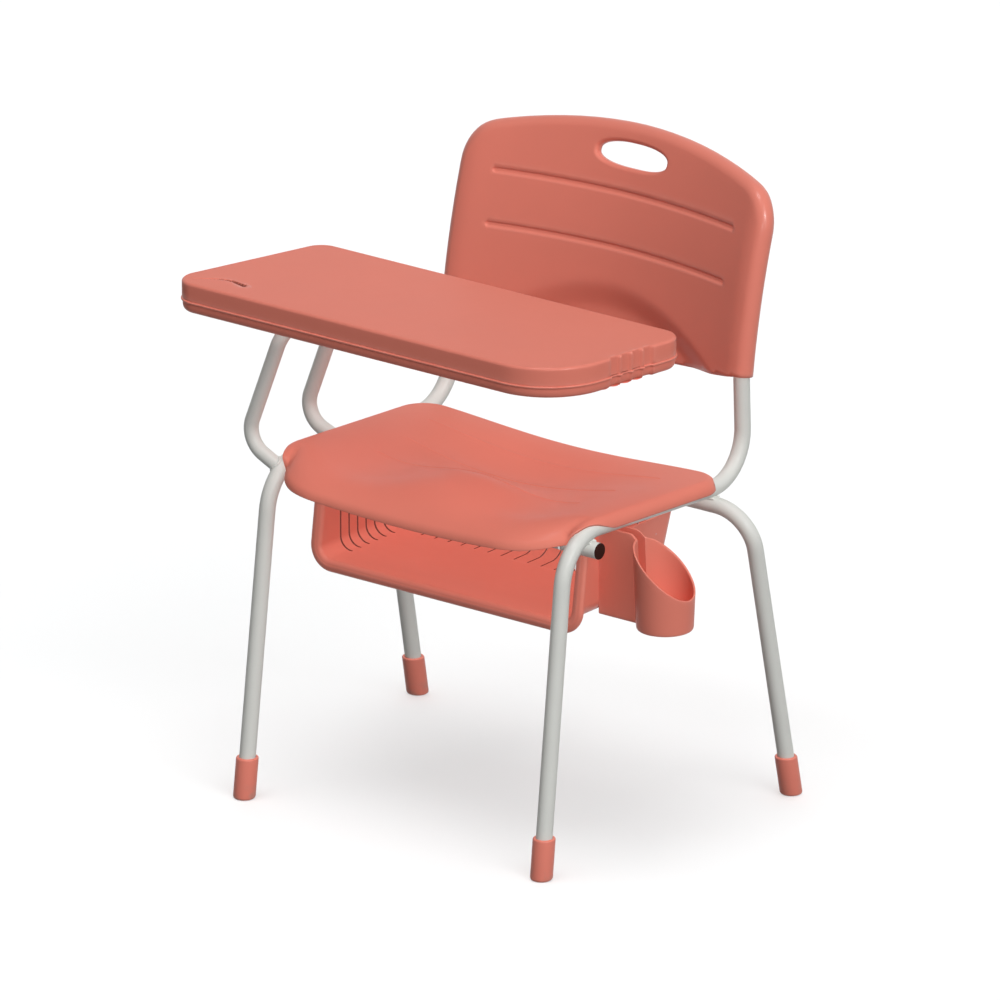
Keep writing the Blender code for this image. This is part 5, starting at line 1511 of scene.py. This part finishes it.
gap = FIT_GAP / 2
saddle = [Vector(corner) for corner in hinge_block(gap, TABLET_BOTTOM_Z + 0.004 - HINGE_Z)]
saddle += half_round(179, 1, HINGE_BORE)
clamp = filleted(hinge_block(-gap, -SADDLE_DEPTH), [0, 0.0018, 0.0018, 0], steps=6)
clamp += half_round(181, 359, HINGE_BORE)
for word, middle_y in HINGE_ENDS.items():
    start_y = middle_y - SADDLE_WIDTH / 2
    hinge_place = lambda x, z, y: Vector((HINGE_X + x, start_y + y, HINGE_Z + z))
    upper_half = plate(saddle, hinge_place, SADDLE_WIDTH, SADDLE_SOFT)
    solid_piece(f"hinge_saddle_{word}", upper_half, tablet_coral, body="tablet")
    lower_half = plate(clamp, hinge_place, SADDLE_WIDTH, CLAMP_SOFT)
    solid_piece(f"hinge_cap_{word}_moulded", lower_half, tablet_coral, [f"hinge_cap_{word}"], "tablet")

# %% [markdown]
# ## Rest plate and basket hangers
# The lowered tablet lies on a small steel plate on the arm, and four flat hooks hang the basket on the
# crossbars. All five are cut from sheet, so each is an outline with thickness and softened rims.

# %% Rest plate and basket hangers
REST_LENGTH, REST_HALF = 0.100, 0.015
REST_SOFT, HANGER_SOFT = 0.0006, 0.0005
HANGER_THICKNESS = 0.003
HANGER_RIM = 0.004
HOOK_START, HOOK_END = 200, 40
HANGER_TAB_WIDTH = 0.026
HANGER_TAB_Z = BASKET_TOP_Z - 0.030
HANGER_EDGE_GAP = 0.004
HANGER_RIVET_Z = HANGER_TAB_Z + 0.0065

rest_low = HINGE_Z + ARM_RADIUS + FIT_GAP
rest_thick = TABLET_BOTTOM_Z - FIT_GAP - rest_low
rest_corners = [(FIT_GAP, -REST_HALF), (REST_LENGTH, -REST_HALF)]
rest_corners += [(REST_LENGTH, REST_HALF), (FIT_GAP, REST_HALF)]
rest_outline = filleted(rest_corners, [0.002, 0.008, 0.008, 0.002], closed=True, steps=8)
rest_place = lambda x, y, z: Vector((HINGE_X + x, HINGE_Y + y, rest_low + z))
rest = plate(rest_outline, rest_place, rest_thick, REST_SOFT)
solid_piece("tablet_rest_painted", rest, powder_grey, ["tablet_rest"])


def hanger_outline(reach, bottom):
    """A hook over a bar with an arm and a tab ahead of it, about the bar's own axis."""
    inner = TUBE_RADIUS + FIT_GAP
    hook = half_round(HOOK_START, HOOK_END, inner + HANGER_RIM)
    top, tip = hook[-1].y, reach + HANGER_TAB_WIDTH
    tab = [hook[-1], (tip, top), (tip, bottom), (reach, bottom), (reach, 0), (inner, 0)]
    rounded = filleted(tab, [0, 0.005, 0.005, 0.005, 0.002, 0], steps=6)
    return hook[:-1] + rounded + half_round(0, HOOK_START, inner)[1:]


front_reach = basket_y(BASKET_FRONT, HANGER_TAB_Z) + HANGER_EDGE_GAP - FRONT_BAR_Y
rear_reach = REAR_BAR_Y - (basket_y(BASKET_REAR, HANGER_TAB_Z) - BASKET_CORNER - HANGER_EDGE_GAP)
HANGERS = {"front": (*BARS["front"], front_reach, 1), "rear": (*BARS["rear"], rear_reach, -1)}
hanger_face = BASKET_HALF - BASKET_WALL - FIT_GAP
for place_word, (bar_y, bar_z, reach, ahead) in HANGERS.items():
    loop = hanger_outline(reach, HANGER_TAB_Z - bar_z)
    for word, side in SIDES.items():
        hang = lambda y, z, x: Vector((side * (hanger_face - x), bar_y + ahead * y, bar_z + z))
        hook, name = plate(loop, hang, HANGER_THICKNESS, HANGER_SOFT), f"{place_word}_{word}"
        solid_piece(f"hanger_{name}_plated", hook, zinc, [f"basket_hanger_{name}"])

# %% [markdown]
# ## Screws and rivets
# Eighteen small fasteners hold the chair together. A screw's pan head has a hexagon socket, and a rivet
# is a plain dome. Both are lofted from rings; for the socket the innermost rings swap their circle for
# a hexagon, which saves a Boolean for each head.

# %% Fasteners
SCREW_RADIUS, HEAD_RADIUS, HEAD_HEIGHT = 0.002, 0.004, 0.002
SOCKET_RADIUS = 0.0017
BACK_SCREW_ZS = (0.615, 0.715)
# The head's profile, as shares of its radius and height.
HEAD_SHARES = ((0.55, 1.0), (0.75, 0.92), (0.93, 0.70), (1.0, 0.42))


def fastener(length, socket):
    """A fastener with its head above Z 0 and its shank below, with a hexagon socket or a plain dome."""
    turns = full_turn(36)
    rings = []
    if socket:
        fold = math.pi / 6
        hexagon = [SOCKET_RADIUS * math.cos(fold) / math.cos((t % (2 * fold)) - fold) for t in turns]
        for share, up in ((0.96, 0.35), (1.0, 0.96)):
            rings.append([(size * share, t, HEAD_HEIGHT * up) for size, t in zip(hexagon, turns)])
    profile = [(HEAD_RADIUS * share, HEAD_HEIGHT * up) for share, up in HEAD_SHARES]
    profile += [(HEAD_RADIUS, FIT_GAP), (SCREW_RADIUS, FIT_GAP)]
    profile += [(SCREW_RADIUS, -length + 0.0006), (SCREW_RADIUS * 0.7, -length)]
    rings += [[(size, t, z) for t in turns] for size, z in profile]
    spot = lambda size, turn, z: Vector((size * math.cos(turn), size * math.sin(turn), z))
    return lofted([[spot(*point) for point in ring] for ring in rings])


def fasten(node, head, direction, length, socket=True, body="chair"):
    bm = fastener(length, socket)
    turn = Vector((0, 0, -1)).rotation_difference(Vector(direction)).to_matrix().to_4x4()
    bmesh.ops.transform(bm, matrix=Matrix.Translation(head) @ turn, verts=bm.verts)
    solid_piece(f"{node}_plated", bm, zinc, [node], body, 40.0)


for word, side in SIDES.items():
    for number, up in enumerate(BACK_SCREW_ZS, 1):
        axis, normal = rim_axis(Vector((BACK_EDGE_X, up)), back_smooth)
        inwards = back_place(side * normal.x, normal.y, normal.z)
        head = back_place(side * axis.x, axis.y, axis.z) - inwards * (ROLL_RADIUS + FIT_GAP)
        fasten(f"back_screw_{word}_{number}", head, inwards, SHELL_WALL + ROLL_GAP + TUBE_WALL * 2)
    for place_word, (bar_y, bar_z) in BARS.items():
        x = BOSS_XS[place_word]
        head = Vector((side * x, bar_y, bar_z - TUBE_RADIUS - FIT_GAP))
        length = float(seat_smooth(x, bar_y)) - SHELL_WALL * 1.5 - (bar_z - TUBE_RADIUS)
        fasten(f"seat_screw_{place_word}_{word}", head, (0, 0, 1), length)
    for place_word, (bar_y, bar_z, reach, ahead) in HANGERS.items():
        rivet_y = bar_y + ahead * (reach + HANGER_TAB_WIDTH / 2)
        head = Vector((side * (hanger_face - HANGER_THICKNESS - FIT_GAP), rivet_y, HANGER_RIVET_Z))
        length = HANGER_THICKNESS + BASKET_WALL + FIT_GAP * 2
        fasten(f"basket_rivet_{place_word}_{word}", head, (side, 0, 0), length, socket=False)
for number, z in enumerate((BASKET_FLOOR_Z + 0.0255, BASKET_TOP_Z - 0.010), 1):
    head = Vector((BASKET_HALF - BASKET_WALL - FIT_GAP, CUP_Y, z))
    fasten(f"cup_screw_{number}", head, (1, 0, 0), BASKET_WALL + FIT_GAP + CUP_WALL * 2)
for word, middle_y in HINGE_ENDS.items():
    for number, end in enumerate((-1, 1), 1):
        x = HINGE_X + end * (SADDLE_HALF + ARM_RADIUS) / 2
        head = Vector((x, middle_y, HINGE_Z - SADDLE_DEPTH - FIT_GAP))
        fasten(f"hinge_screw_{word}_{number}", head, (0, 0, 1), SADDLE_DEPTH + 0.014, body="tablet")
